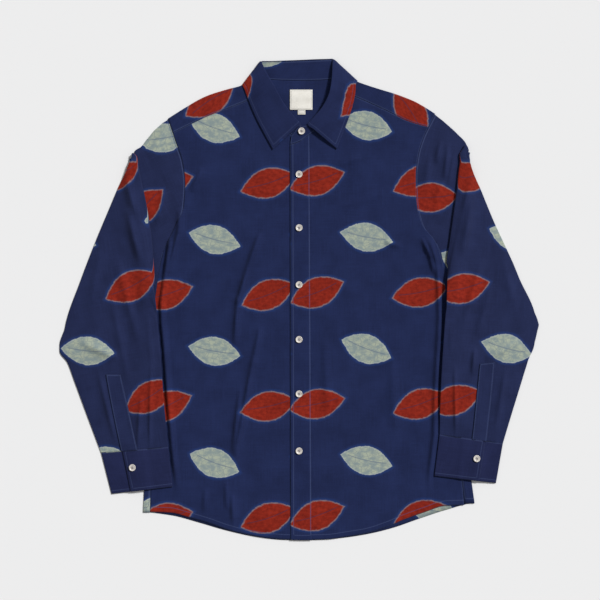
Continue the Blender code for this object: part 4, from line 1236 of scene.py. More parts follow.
    def shoulder(self, side: Side, shares: Array) -> tuple[Array, Array]:
        """Shoulder fold and the direction out of the body across it.

        Args:
            side: Which shoulder.
            shares: Shares from the neck to the armhole.

        Returns:
            Plan points and unit directions, square to the fold.
        """
        table = self.shoulders[side]
        ahead = spline(table, np.clip(shares + 0.02, 0, 1)) - spline(table, np.clip(shares - 0.02, 0, 1))
        out = np.stack([-ahead[:, 1], ahead[:, 0]], axis=-1) * side.value
        return spline(table, shares), out / np.linalg.norm(out, axis=1)[:, None]

    def yoke(self) -> Sheet:
        """Yoke: one panel behind the shoulders, folded over each of them down to the front seams.

        Returns:
            Coarse sheet.
        """
        wing = 8
        shares = np.linspace(1.0, 0.0, wing + 1)
        fold, out, arm = {}, {}, {}
        for side in Side:
            fold[side], out[side] = self.shoulder(side, shares)
            fold[side] = fold[side] - out[side] * HALF_TUBE
            arm[side] = self.armhole(side, self.arm_shares[1] * np.array(self.yoke_rows))
            arm[side][0] = fold[side][0]
        right, left = Side.RIGHT, Side.LEFT
        back_neck = self.neck.seam(*self.neck.back)
        top = np.vstack([fold[right], back_neck[1:-1], fold[left][::-1]])
        cols = len(top)
        seam_x = np.linspace(arm[right][-1, 0], arm[left][-1, 0], cols)
        seam_y = self.back_seam_y(seam_x, {side: arm[side][-1] for side in Side})
        seam = np.stack([seam_x, seam_y], axis=-1)
        arm[right][-1], arm[left][-1] = seam[0], seam[-1]
        behind = self.neck.raised(patch(top, seam, arm[right], arm[left], self.yoke_rows)[::-1], BACK_Z)
        rows = [behind]
        for angle in np.linspace(0.0, math.pi, FOLD_STEPS + 1)[1:]:
            row = top.copy()
            row[: wing + 1] += out[right] * FOLD_R * math.sin(angle)
            row[-wing - 1 :] += out[left][::-1] * FOLD_R * math.sin(angle)
            rows.append(self.neck.raised(row, (BACK_Z + FRONT_Z) / 2 - FOLD_R * math.cos(angle))[None])
        front_rows = self.neck.front[1] - self.neck.back[1]
        front = np.zeros((front_rows, cols, 3))
        front[:, : wing + 1] = self.yoke_front(right, fold[right], front_rows)
        front[:, cols - wing - 1 :] = self.yoke_front(left, fold[left], front_rows)[:, ::-1]
        grid = np.concatenate([*rows, front], axis=0)
        present = np.ones((grid.shape[0] - 1, cols - 1), dtype=bool)
        present[len(behind) - 1 :, wing : cols - 1 - wing] = False
        cloth = grid[..., :2].copy()
        beyond = slice(len(behind) + 2, None)
        for side, columns in ((right, slice(0, cols // 2)), (left, slice(cols // 2, cols))):
            cloth[beyond, columns] = self.unfolded(fold[side], grid[beyond, columns, :2])
        cloth = cloth - np.array(self.yoke_anchor)
        lift = np.zeros(grid.shape[:2])
        lift[-front_rows:] = ease(np.arange(1, front_rows + 1) / front_rows)[:, None]
        return Sheet(grid, cloth, lift, present, {Border.LAST_ROW: 2.0, Border.FIRST_ROW: 2.0})

    def unfolded(self, fold: Array, plan: Array) -> Array:
        """Plan points mirrored in the straight line through a fold's ends.

        Args:
            fold: Plan points of the fold.
            plan: Points to mirror.

        Returns:
            Mirrored points.
        """
        along = (fold[-1] - fold[0]) / np.linalg.norm(fold[-1] - fold[0])
        away = plan - fold[0]
        return fold[0] + 2 * (away @ along)[..., None] * along - away

    def yoke_front(self, side: Side, fold: Array, rows: int) -> Array:
        """Rows of the yoke on one front, from the shoulder fold to the seam, armhole first.

        Args:
            side: Which shoulder.
            fold: Plan points of the fold.
            rows: How many rows.

        Returns:
            Grid of points.
        """
        seam = spline(self.yoke_seams[side], np.linspace(1.0, 0.0, len(fold)))
        arm = self.armhole(side, np.linspace(0.0, self.arm_shares[0], rows + 1))
        arm[0], seam[0] = fold[0], arm[-1]
        shares = np.linspace(0.0, 1.0, rows + 1)
        if side is Side.RIGHT:
            neck = self.neck.along(self.neck.front[0], self.neck.back[0], shares[::-1])
        else:
            neck = self.neck.along(self.neck.back[1], self.neck.front[1], shares)
        neck[0], neck[-1] = fold[-1], seam[-1]
        return self.neck.raised(patch(fold, seam, arm, neck)[1:], FRONT_Z)

    def placket(self) -> Sheet:
        """Button placket on top of both fronts: a ruled surface from the neck seam to the hem.

        Returns:
            Coarse sheet.
        """
        neck_x = np.array([-17.0, -10.0, -3.0, 4.0, 11.0, 15.0])
        sections = np.array([row[:2] for row in self.neck.rows[self.neck.leaf[1] - 1 :]])[::-1]
        neck = np.stack([neck_x, np.interp(neck_x, sections[:, 0], sections[:, 1])], axis=-1)
        hem_x = np.linspace(-16.0, 18.5, len(neck_x))
        hem = np.stack([hem_x, self.hem_y(hem_x, True) - 0.5], axis=-1)
        shares = np.linspace(0.0, 1.0, 17)[:, None, None]
        grid = self.neck.raised(neck[None] * (1 - shares) + hem[None] * shares, PLACKET_Z)
        cloth = grid[..., :2] - np.array(self.anchors[Side.LEFT])
        stitched = {Border.LAST_ROW: 8.0, Border.FIRST_COL: 5.0, Border.LAST_COL: 1.4}
        return Sheet(grid, cloth, 1.0, None, stitched)

    def build(self) -> list[Object]:
        """Make and dress the five pieces.

        Returns:
            Back, yoke, right front, left front and placket.
        """
        plan = (
            ("back", self.back(), "back cloth", 6.0),
            ("yoke", self.yoke(), "yoke cloth", 3.5),
            ("front_right", self.front(Side.RIGHT), "right front cloth", 3.0),
            ("front_left", self.front(Side.LEFT), "left front cloth", 3.0),
            ("placket", self.placket(), "placket cloth", 2.5),
        )
        pieces = []
        for node, coarse, slot, step in plan:
            facing = self.yoke_facing if node == "yoke" else None
            material = PrintedCloth("indigo " + slot, facing=facing, sewn=0.6).build()
            sheet = self.folded(coarse.finer(step))
            pieces.append(make_cloth(node, sheet, material, self.cloth_thickness))
        return pieces


@dataclass
class Collar:
    """Stand and turned-down leaf.

    Attributes:
        neck: Its sections.
        leaf_clear: Height of the leaf's edge over the fronts.
        roll_gap: Gap between the stand's upper edge and the leaf.
        roll_radius: Radius of the roll in front and behind.
        leaf_bow: How far the leaf's fall bulges up in front.
        stand_anchor: Place of the stand on its cloth.
        leaf_anchor: Place of the leaf on its cloth.
        thickness: Thickness of the two layers of each.
    """

    neck: NeckLine
    leaf_clear: float = 0.7
    roll_gap: float = 0.7
    roll_radius: Pair = (1.0, 0.65)
    leaf_bow: float = 1.4
    stand_anchor: Pair = (-243.0, -49.0)
    leaf_anchor: Pair = (-122.0, 55.0)
    thickness: float = 0.9

    def sections(self) -> Array:
        """Sections of the neck line, with the leaf's columns carried on to the ends.

        Returns:
            One row for each section.
        """
        rows = np.array(self.neck.rows, dtype=float)
        first, last = self.neck.leaf
        rows[:first, 6:9] = rows[first, 6:9]
        rows[last + 1 :, 6:9] = rows[last, 6:9]
        return rows

    def frame_of(self, sections: Array) -> tuple[Array, Array, Array, Array]:
        """Lines and directions that the stand and the leaf are built on.

        Args:
            sections: Rows of the neck line.

        Returns:
            Stand's lower line, its upper line, direction up the stand, direction out of the ring.
        """
        lower = self.neck.raised(sections[:, 0:2], sections[:, 2])
        upper = sections[:, 3:6]
        rise = (upper - lower) / np.linalg.norm(upper - lower, axis=1)[:, None]
        turn = np.radians(np.clip(sections[:, 9], 0.0, 180.0))
        side = np.sign(np.where(np.abs(sections[:, 3]) < 1e-6, 1.0, sections[:, 3]))
        out = np.stack([side * np.sin(turn) * 0.86, np.sin(turn) * 0.5, np.cos(turn)], axis=-1)
        return lower, upper, rise, out / np.linalg.norm(out, axis=1)[:, None]

    def into_neck(self, line: Array, rise: Array) -> Array:
        """Unit directions in plan halfway between square to the neck seam and up the stand.

        Args:
            line: Plan points of the seam.
            rise: Directions up the stand, in plan.

        Returns:
            Unit directions.
        """
        ahead = np.gradient(line, axis=0)
        square = np.stack([-ahead[:, 1], ahead[:, 0]], axis=-1)
        square *= np.sign(np.sum(square * rise, axis=1))[:, None]
        both = square / np.linalg.norm(square, axis=1)[:, None] + rise / np.linalg.norm(rise, axis=1)[:, None]
        return both / np.linalg.norm(both, axis=1)[:, None]

    def stand(self) -> Sheet:
        """Band that stands on the neck seam and laps at the front: a ruled surface.

        Returns:
            Coarse sheet.
        """
        sections = self.sections()
        lower, upper, rise, _ = self.frame_of(sections)
        corner = np.sin(np.radians(np.clip(sections[:, 9:10], 0.0, 180.0)))
        lower[:, :2] += self.into_neck(lower[:, :2], rise[:, :2]) * (SEAM + 0.15 + 1.5 * corner)
        shares = np.linspace(0.0, 1.0, 4)[:, None, None]
        grid = lower[None] * (1 - shares) + upper[None] * shares
        cloth = np.stack([run_along(grid, 1), -run_along(grid, 0)], axis=-1) + np.array(self.stand_anchor)
        stitched = {Border.FIRST_ROW: 1.6, Border.LAST_ROW: 1.6, Border.FIRST_COL: 1.8, Border.LAST_COL: 1.8}
        return Sheet(grid, cloth, 0.0, None, stitched)

    def leaf(self) -> Sheet:
        """Collar leaf: a Bézier roll off the stand, then a ruled fall to its edge.

        Returns:
            Coarse sheet.
        """
        first, last = self.neck.leaf
        sections = self.sections()[first : last + 1]
        _, upper, rise, out = self.frame_of(sections)
        behind = np.clip(sections[:, 9:10], 0.0, 180.0) / 180.0
        front_radius, back_radius = self.roll_radius
        radius = front_radius + (back_radius - front_radius) * behind + 0.65 * np.sin(math.pi * behind)
        start = upper + rise * self.roll_gap
        turned = start + out * 2 * radius
        turned[:, 2] = np.maximum(turned[:, 2], BACK_Z)
        edge = sections[:, 6:9] + np.array([0.0, 0.0, self.leaf_clear]) * (1 - behind)
        bend = rise * radius * 4.0 / 3.0
        t = np.linspace(0.0, 1.0, 5)[:, None, None]
        roll = (1 - t) ** 3 * start + 3 * t * (1 - t) ** 2 * (start + bend)
        roll = roll + 3 * t * t * (1 - t) * (turned + bend)
        roll = roll + t**3 * turned
        fall = np.linspace(0.0, 1.0, 6)[1:, None, None]
        bow = self.leaf_bow * (1 - behind) * np.sin(math.pi * fall) * np.array([0.0, 0.0, 1.0])
        grid = np.concatenate([roll, turned * (1 - fall) + edge * fall + bow])
        along = np.broadcast_to(run_along(grid, 1)[:6].mean(axis=0), grid.shape[:2])
        cloth = np.stack([along, -run_along(grid, 0)], axis=-1) + np.array(self.leaf_anchor)
        stitched = {Border.LAST_ROW: 5.0, Border.FIRST_COL: 5.0, Border.LAST_COL: 5.0}
        return Sheet(grid, cloth, 0.0, None, stitched)

    def build(self) -> list[Object]:
        """Make and dress both pieces.

        Returns:
            Stand and leaf.
        """
        # The stand carries painted shade: its colours times 0.92, for the shadow inside the neck.
        stand = PrintedCloth("indigo stand cloth", painted_shade=0.92, sewn=0.5).build()
        leaf = PrintedCloth("indigo leaf cloth", ground=ink(26, 35, 72), sewn=0.25).build()
        parts = (("collar_stand", self.stand(), stand), ("collar_leaf", self.leaf(), leaf))
        return [
            make_cloth(node, sheet.finer(2.0), finish, self.thickness)
            for node, sheet, finish in parts
        ]


@dataclass
class Sleeve:
    """One sleeve with its placket and cuff.

    Attributes:
        side: The wearer's side.
        body: The body that it lies on.
        upper: Columns: outer edge x, y; inner edge x, y; share of the armhole's bow kept.
        pleat: The same for the second fold of the pleat at the shoulder.
        lower: The same for the sections from the pleat to the cuff.
        cuff: Outer x, y and inner x, y of the cuff's lower edge.
        cuff_lap: Shares across the cuff where its top layer ends and where its underlap ends.
        placket_shares: Shares across the sleeve of the placket's edges, at the cuff and above.
        elbow: Columns: y, how far the outer edge moves out there, distance from the middle of the
            shirt where the move begins, and width over which it grows.
        anchor: Middle of a rust leaf on the lower part, and on the cap.
        turn: Turn of the cloth on the lower part and on the cap, degrees.
        folds: Creases of the lower part.
        puff: How far the upper wall stands up in its middle.
        hover: How far the inner edge stands clear of the body.
        placket_length: Length of the placket above the cuff.
        support_reach: How far beyond an edge of the body the sleeve still lies at its height.
        support_ramp: Length over which it then comes down to the floor.
        placket_anchor: Place of the placket on its cloth from the sleeve's.
        cuff_anchor: Place of the cuff's first corner on its cloth.
        LOWER_ROWS: Sections from the pleat to the cuff.
        CAP_FOOT, CAP_RISE: y where the line between cap and lower part starts, and its rise in y.
    """

    side: Side
    body: Body
    upper: Table
    pleat: tuple[float, ...]
    lower: Table
    cuff: Box
    cuff_lap: Pair
    placket_shares: tuple[Pair, Pair]
    anchor: tuple[Pair, Pair]
    turn: Pair
    folds: Folds
    puff: float = 2.2
    hover: float = 6.0
    elbow: Table = ((0.0, 0.0, 0.0, 1.0),)
    placket_length: float = 129.0
    support_reach: float = 15.0
    support_ramp: float = 18.0
    placket_anchor: Pair = (30.0, -40.0)
    cuff_anchor: Pair = (-122.0, 32.0)

    LOWER_ROWS = 14
    CAP_FOOT = 24.0
    CAP_RISE = 220.0

    @property
    def shares(self) -> Array:
        """Shares across the sleeve where its sections have points."""
        return np.array((0.0, *self.body.arm_shares))

    def support(self, plan: Array) -> Array:
        """Height of whatever the lower part of the sleeve lies on.

        The larger of two plateaus with smooth ramps: the body's side, and the pleat's two lower
        layers, whose four corners bound the plateau.

        Args:
            plan: Plan points.

        Returns:
            Heights, mm.
        """
        side = self.side.value
        edge = self.body.side_edge(self.side, np.linspace(0.0, 1.0, 40))
        edge_x = np.interp(-plan[..., 1], -edge[:, 1], edge[:, 0])
        outside = np.maximum(side * (plan[..., 0] - edge_x), 0.0)
        distance = np.hypot(outside, np.maximum(plan[..., 1] - edge[0, 1], 0.0))
        body = (FRONT_Z + WALL / 2 + SEAM) * (1.0 - ease((distance - self.support_reach) / self.support_ramp))
        fold = self.upper[-1]
        corners = np.array([self.pleat[0:2], fold[0:2], fold[2:4], self.pleat[2:4]])
        centre = corners.mean(axis=0)
        inside = np.ones(plan.shape[:-1], dtype=bool)
        away = np.full(plan.shape[:-1], 1e9)
        for a, b in zip(corners, np.roll(corners, -1, axis=0)):
            line = b - a
            share = np.clip(((plan - a) @ line) / (line @ line), 0.0, 1.0)
            away = np.minimum(away, np.linalg.norm(plan - a - share[..., None] * line, axis=-1))
            cross = line[0] * (plan[..., 1] - a[1]) - line[1] * (plan[..., 0] - a[0])
            inside &= cross * (line[0] * (centre[1] - a[1]) - line[1] * (centre[0] - a[0])) >= 0
        away = np.where(inside, 0.0, away)
        pleat = 2 * STACK_STEP * (1.0 - ease((away - self.support_reach / 2) / self.support_ramp))
        return np.maximum(body, pleat)

    def line(self, row: Sequence[float]) -> Array:
        """Plan points of one section's middle line: straight, bowed by a share of the armhole's bow.

        Args:
            row: Outer x, y, inner x, y and the share of the bow.

        Returns:
            Plan points from the outer to the inner edge.
        """
        start, end = np.array(row[0:2]), np.array(row[2:4])
        inset = HALF_TUBE / np.linalg.norm(end - start)
        shares = inset + (1 - 2 * inset) * self.shares
        straight = start + (end - start) * shares[:, None]
        chord = self.body.armhole(self.side, np.array([0.0, 1.0]))
        bow = self.body.armhole(self.side, shares) - (chord[0] + (chord[1] - chord[0]) * shares[:, None])
        return straight + bow * row[4]

    def ring(self, line: Array, z: Array, tilt: float, across: Array) -> Array:
        """Closed ring round a flat tube's middle line: two parallels joined by half circles.

        Args:
            line: Plan points of the middle line.
            z: Heights of the middle line.
            tilt: Turn of the ring about the line.
            across: Plan direction that a tilted ring leans to.

        Returns:
            Points: upper wall, inner end, lower wall, outer end.
        """
        up = np.append(across * math.sin(tilt), math.cos(tilt))
        middle = np.concatenate([line, z[:, None]], axis=1)
        angles = np.array([math.pi / 3, 2 * math.pi / 3])
        ends = []
        for end, beside, sign in ((-1, -2, 1.0), (0, 1, -1.0)):
            step = line[end] - line[beside]
            out = np.append(step / np.linalg.norm(step), 0.0)
            turn = np.sin(angles)[:, None] * out + np.cos(angles)[:, None] * up * sign
            ends.append(middle[end] + FOLD_R * turn)
        return np.vstack([middle + up * FOLD_R, ends[0], (middle - up * FOLD_R)[::-1], ends[1]])

    def turned(self, row: Sequence[float], low_z: float, toward: int, start_tilt: float) -> list[Array]:
        """Rings round one fold of the pleat: the tube's line goes round a half circle.

        Args:
            row: Section at the fold.
            low_z: Height of the tube below the fold.
            toward: Side that the fold bulges to.
            start_tilt: Tilt of the first ring.

        Returns:
            Rings.
        """
        line = self.line(row)
        along = line[-1] - line[0]
        across = np.array([-along[1], along[0]]) / np.linalg.norm(along)
        across = across * np.sign(across[0]) * toward
        rings = []
        for angle in np.linspace(0.0, math.pi, 5):
            z = low_z + STACK_STEP / 2 * (1 - math.cos(angle))
            shifted = line + across * STACK_STEP / 2 * math.sin(angle)
            rings.append(self.ring(shifted, np.full(len(line), z), start_tilt - angle, across))
        return rings

    def rings(self) -> tuple[Array, int, int]:
        """Rings from the armhole over the pleat at the shoulder down to the cuff.

        Returns:
            Grid of points, number of rings before the pleat's first fold, and number before the
            lower part.
        """
        side = self.side.value
        upper = spline(self.upper, np.linspace(0.0, 1.0, 4), per_length=False)
        upper[0, [0, 2]] -= side * TUCK
        fold, pleat = np.array(self.upper[-1]), np.array(self.pleat)
        shares = np.linspace(0.0, 1.0, self.LOWER_ROWS)
        lower = spline([self.pleat, *self.lower], shares, per_length=False)
        flat = np.zeros(2)
        count = len(self.shares)
        level = np.full(count, HALF_TUBE)
        rings = [self.ring(self.line(row), level, 0.0, flat) for row in upper[:-1]]
        rings[0][:count, 2] -= 0.55
        before = len(rings)
        rings += self.turned(fold, HALF_TUBE, side, 0.0)
        rings.append(self.ring(self.line((fold + pleat) / 2), level + STACK_STEP, math.pi, flat))
        rings += self.turned(pleat, HALF_TUBE + STACK_STEP, -side, math.pi)
        start = len(rings)
        shape = np.sin(math.pi * self.shares) ** 0.7
        for number, row in enumerate(lower[1:], start=1):
            line = self.line(row)
            reach = float(ease(number / 3.0) * ease((self.LOWER_ROWS - 1 - number) / 2.5))
            z = self.support(line) + HALF_TUBE + self.hover * reach * self.shares**3
            ring = self.ring(line, z, 0.0, flat)
            ring[:count, 2] += self.puff * reach * shape
            rings.append(ring)
        return np.stack(rings), before, start

    def cloth_place(self, plan: Array, part: int) -> Array:
        """Place on the cut cloth of plan points: turned and moved.

        Args:
            plan: Plan points.
            part: 0 for the lower part, 1 for the cap.

        Returns:
            Places on the cloth, mm.
        """
        angle = math.radians(self.turn[part])
        away = plan - np.array(self.anchor[part])
        across = away[..., 0] * math.cos(angle) + away[..., 1] * math.sin(angle)
        along = away[..., 1] * math.cos(angle) - away[..., 0] * math.sin(angle)
        return np.stack([across, along], axis=-1)

    def tube(self) -> Sheet:
        """The sleeve's tube; its lower wall's cloth is the plan mirrored in both edges.

        Returns:
            Coarse sheet, whose first and last column are one line in the middle of the lower wall.
        """
        points, before, start = self.rings()
        count = len(self.shares)
        lower_part = self.cloth_place(points[..., :2], 0)
        cap = self.cloth_place(points[..., :2], 1)
        blend = ease((np.arange(len(points)) - before) / (start - before))[:, None, None]
        cloth = cap * (1 - blend) + lower_part * blend
        lift = np.zeros(points.shape[:2])
        across = np.sin(math.pi * self.shares) ** 0.6
        lift[:before, :count] = across * np.linspace(1.0, 0.35, before)[:, None]
        fade = ease(np.arange(1, len(points) - start + 1) / 2.0)
        fade[-1] = 0.3
        lift[start:, :count] = across * fade[:, None]
        inner, outer = cloth[:, count : count + 1, 0], cloth[:, -1:, 0]
        middle = count + 2 + count // 2
        opened = np.concatenate([cloth[:, middle:], cloth[:, : middle + 1]], axis=1)
        outer_columns = slice(0, points.shape[1] - middle)
        inner_columns = slice(points.shape[1] - middle + count + 1, None)
        opened[:, outer_columns, 0] = 2 * outer - opened[:, outer_columns, 0]
        opened[:, inner_columns, 0] = 2 * inner - opened[:, inner_columns, 0]
        grid = np.concatenate([points[:, middle:], points[:, : middle + 1]], axis=1)
        raised = np.concatenate([lift[:, middle:], lift[:, : middle + 1]], axis=1)
        if self.side is Side.RIGHT:
            grid, opened, raised = grid[:, ::-1], opened[:, ::-1], raised[:, ::-1]
        return Sheet(grid, opened, raised, None, {Border.FIRST_ROW: 4.0}, ring=True)

    def relief(self, plan: Array) -> Array:
        """Height of the sleeve's folds, which go over into the body's at the armhole.

        Args:
            plan: Plan points.

        Returns:
            Heights, mm.
        """
        side = self.side.value
        outer_x, inner_x = self.pleat[0], self.pleat[2]
        line_x = inner_x + (outer_x - inner_x) * (plan[..., 1] - self.CAP_FOOT) / self.CAP_RISE
        away = side * (plan[..., 0] - line_x)
        own = self.folds.height(plan)
        cap = self.body.relief(plan) * ease((-away - 3.0) / 16.0)
        in_cap = ease((-away - 1.0) / 3.0) * ease((plan[..., 1] - 70.0) / 12.0)
        return cap * in_cap + own * (1.0 - in_cap)

    def folded(self, sheet: Sheet) -> Sheet:
        """A fine sheet raised by the sleeve's folds, its elbow drawn out to a corner.

        At y, points move out by a linear table of y, times a share that grows from the middle of
        the sleeve to its outer edge.

        Args:
            sheet: Sheet with fine points.

        Returns:
            The same sheet.
        """
        side = self.side.value
        x, y = side * sheet.points[..., 0], sheet.points[..., 1]
        table = np.array(self.elbow)
        moved, start, reach = (np.interp(y, table[:, 0], table[:, n]) for n in (1, 2, 3))
        moved = moved * ease((x - start) / reach)
        sheet.points[..., 0] += side * moved
        sheet.points[..., 2] += sheet.lift * self.relief(sheet.points[..., :2])
        return sheet

    def placket(self) -> Sheet:
        """Placket strip above the cuff: points of the sleeve's upper wall, moved up.

        Returns:
            Coarse sheet.
        """
        points, _, _ = self.rings()
        count = len(self.shares)
        panel = points[:, :count]
        low, high = (np.array(pair) for pair in self.placket_shares)
        across = np.sin(math.pi * self.shares) ** 0.6
        middle = panel[:, count // 2]
        along = np.append(0.0, np.cumsum(np.linalg.norm(np.diff(middle[::-1], axis=0), axis=1)))
        last = int(np.argmax(along > self.placket_length))
        end_place = last - 1 + (self.placket_length - along[last - 1]) / (along[last] - along[last - 1])
        rows, lifts = [], []
        for place in np.append(np.arange(0.0, last - 0.5, 0.5), end_place):
            n = int(min(place, last - 1))
            row = panel[-1 - n] * (1 - (place - n)) + panel[-2 - n] * (place - n)
            pair = low + (high - low) * place / end_place
            strip = np.linspace(pair[0], pair[1], 8)
            rows.append(np.stack([np.interp(strip, self.shares, row[:, k]) for k in range(3)], axis=-1))
            lifts.append(np.interp(strip, self.shares, across) * min(0.3 + 0.7 * place, 1.0))
        grid = np.array(rows)
        grid[..., 2] += WALL + SEAM + 0.3
        stitched = {Border.LAST_ROW: 1.6, Border.FIRST_COL: 1.6, Border.LAST_COL: 1.6}
        cloth = self.cloth_place(grid[..., :2], 0)
        return Sheet(grid, cloth + np.array(self.placket_anchor), np.array(lifts), None, stitched)

    def cuff_section(self) -> Array:
        """Section of the cuff: top layer, inner fold, under layer, outer fold, underlap.

        Returns:
            Columns: share across, height, bulge along the section.
        """
        top_end, under_end = self.cuff_lap
        mid = (top_end + under_end) / 2
        rows = [(share, PLACKET_Z, 0.0) for share in (top_end, mid, under_end + 0.05)]
        rows += [(under_end + 0.16, FRONT_Z, 0.0), (0.85, FRONT_Z, 0.0)]
        angles = np.linspace(0.0, math.pi, FOLD_STEPS + 1)
        middle = (FRONT_Z + BACK_Z) / 2
        rows += [(1.0, middle + FOLD_R * math.cos(a), FOLD_R * math.sin(a)) for a in angles]
        rows += [(share, BACK_Z, 0.0) for share in (0.84, 0.67, 0.5, 0.33, 0.16)]
        rows += [(0.0, middle - FOLD_R * math.cos(a), -FOLD_R * math.sin(a)) for a in angles]
        rows += [(share, FRONT_Z, 0.0) for share in (0.16, top_end, mid, under_end)]
        return np.array(rows)

    def cuff_band(self) -> Sheet:
        """Cuff: its section carried from the sleeve's end to the cuff's lower edge.

        Returns:
            Coarse sheet.
        """
        top, bottom = np.array(self.lower[-1][:4]), np.array(self.cuff)
        reach = (bottom[:2] + bottom[2:] - top[:2] - top[2:]) / 2
        top = top - np.tile(reach / np.linalg.norm(reach) * TUCK, 2)
        section = self.cuff_section()
        rows = []
        for share in np.linspace(0.0, 1.0, 5):
            ends = top * (1 - share) + bottom * share
            along = (ends[2:] - ends[:2]) / np.linalg.norm(ends[2:] - ends[:2])
            inset = HALF_TUBE * (1 - 2 * section[:, 0]) + section[:, 2]
            plan = ends[:2] + (ends[2:] - ends[:2]) * section[:, 0:1] + along * inset[:, None]
            rows.append(np.concatenate([plan, (self.support(plan) + section[:, 1])[:, None]], axis=1))
        grid = np.array(rows)
        cloth = np.stack([run_along(grid, 1), -run_along(grid, 0)], axis=-1) + np.array(self.cuff_anchor)
        stitched = {Border.FIRST_ROW: 1.8, Border.LAST_ROW: 5.0, Border.FIRST_COL: 5.0, Border.LAST_COL: 5.0}
        return Sheet(grid, cloth, 0.0, None, stitched)

    def build(self) -> list[Object]:
        """Make and dress the three pieces.

        Returns:
            Sleeve, its placket and its cuff.
        """
        word = self.side.word
        ground = ink(28, 36, 71)
        pieces = []
        for part, sheet, thickness, tone in (
            ("sleeve", self.folded(self.tube().finer(3.2)), 0.7, ground),
            ("sleeve_placket", self.folded(self.placket().finer(2.2)), 0.7, ground),
            ("cuff", self.cuff_band().finer(2.4), 0.9, ink(26, 32, 67)),
        ):
            slot = part.replace("_", " ") + " cloth"
            printed = part == "sleeve"
            sewn = 1.0 if printed else 0.35
            material = PrintedCloth(f"indigo {word} {slot}", ground=tone, printed=printed, sewn=sewn).build()
            pieces.append(make_cloth(f"{part}_{word}", sheet, material, thickness))
        return pieces


@dataclass
class NeckLabel:
    """Bare label and its tab, sewn to the inside of the yoke.

    Attributes:
        neck: Neck line that raises the yoke.
        label: x and y ranges of the label.
        tab: x and y ranges of its tab.
        thickness: Of both.
    """

    neck: NeckLine
    label: Box = (-17.2, 20.0, 313.0, 346.0)
    tab: Box = (-4.1, 8.4, 305.2, 312.6)
    thickness: float = 0.6

    def sheet(self, area: Box, inset: float) -> Sheet:
        """One rectangle over the yoke, very slightly bowed.

        Args:
            area: x and y ranges.
            inset: How far inside its borders the thread runs.

        Returns:
            Coarse sheet.
        """
        x0, x1, y0, y1 = area
        plan = np.stack(np.meshgrid(np.linspace(x0, x1, 9), np.linspace(y1, y0, 8)), axis=-1)
        grid = self.neck.raised(plan, BACK_Z + WALL + SEAM + 0.2)
        bow = np.sin(math.pi * (plan - (x0, y0)) / (x1 - x0, y1 - y0)).prod(axis=-1)
        grid[..., 2] += 0.25 * bow
        return Sheet(grid, plan.copy(), 0.0, None, {border: inset for border in Border})

    def build(self) -> list[Object]:
        """Make and dress label and tab.

        Returns:
            Both pieces.
        """
        twill = LabelCloth("label twill").build()
        tab_twill = LabelCloth("tab twill", ink(214, 212, 206)).build()
        tab = make_cloth("label_tab", self.sheet(self.tab, 1.2).finer(1.0), tab_twill, self.thickness)
        label = self.sheet(self.label, 2.0).finer(1.5)
        return [make_cloth("label", label, twill, self.thickness), tab]


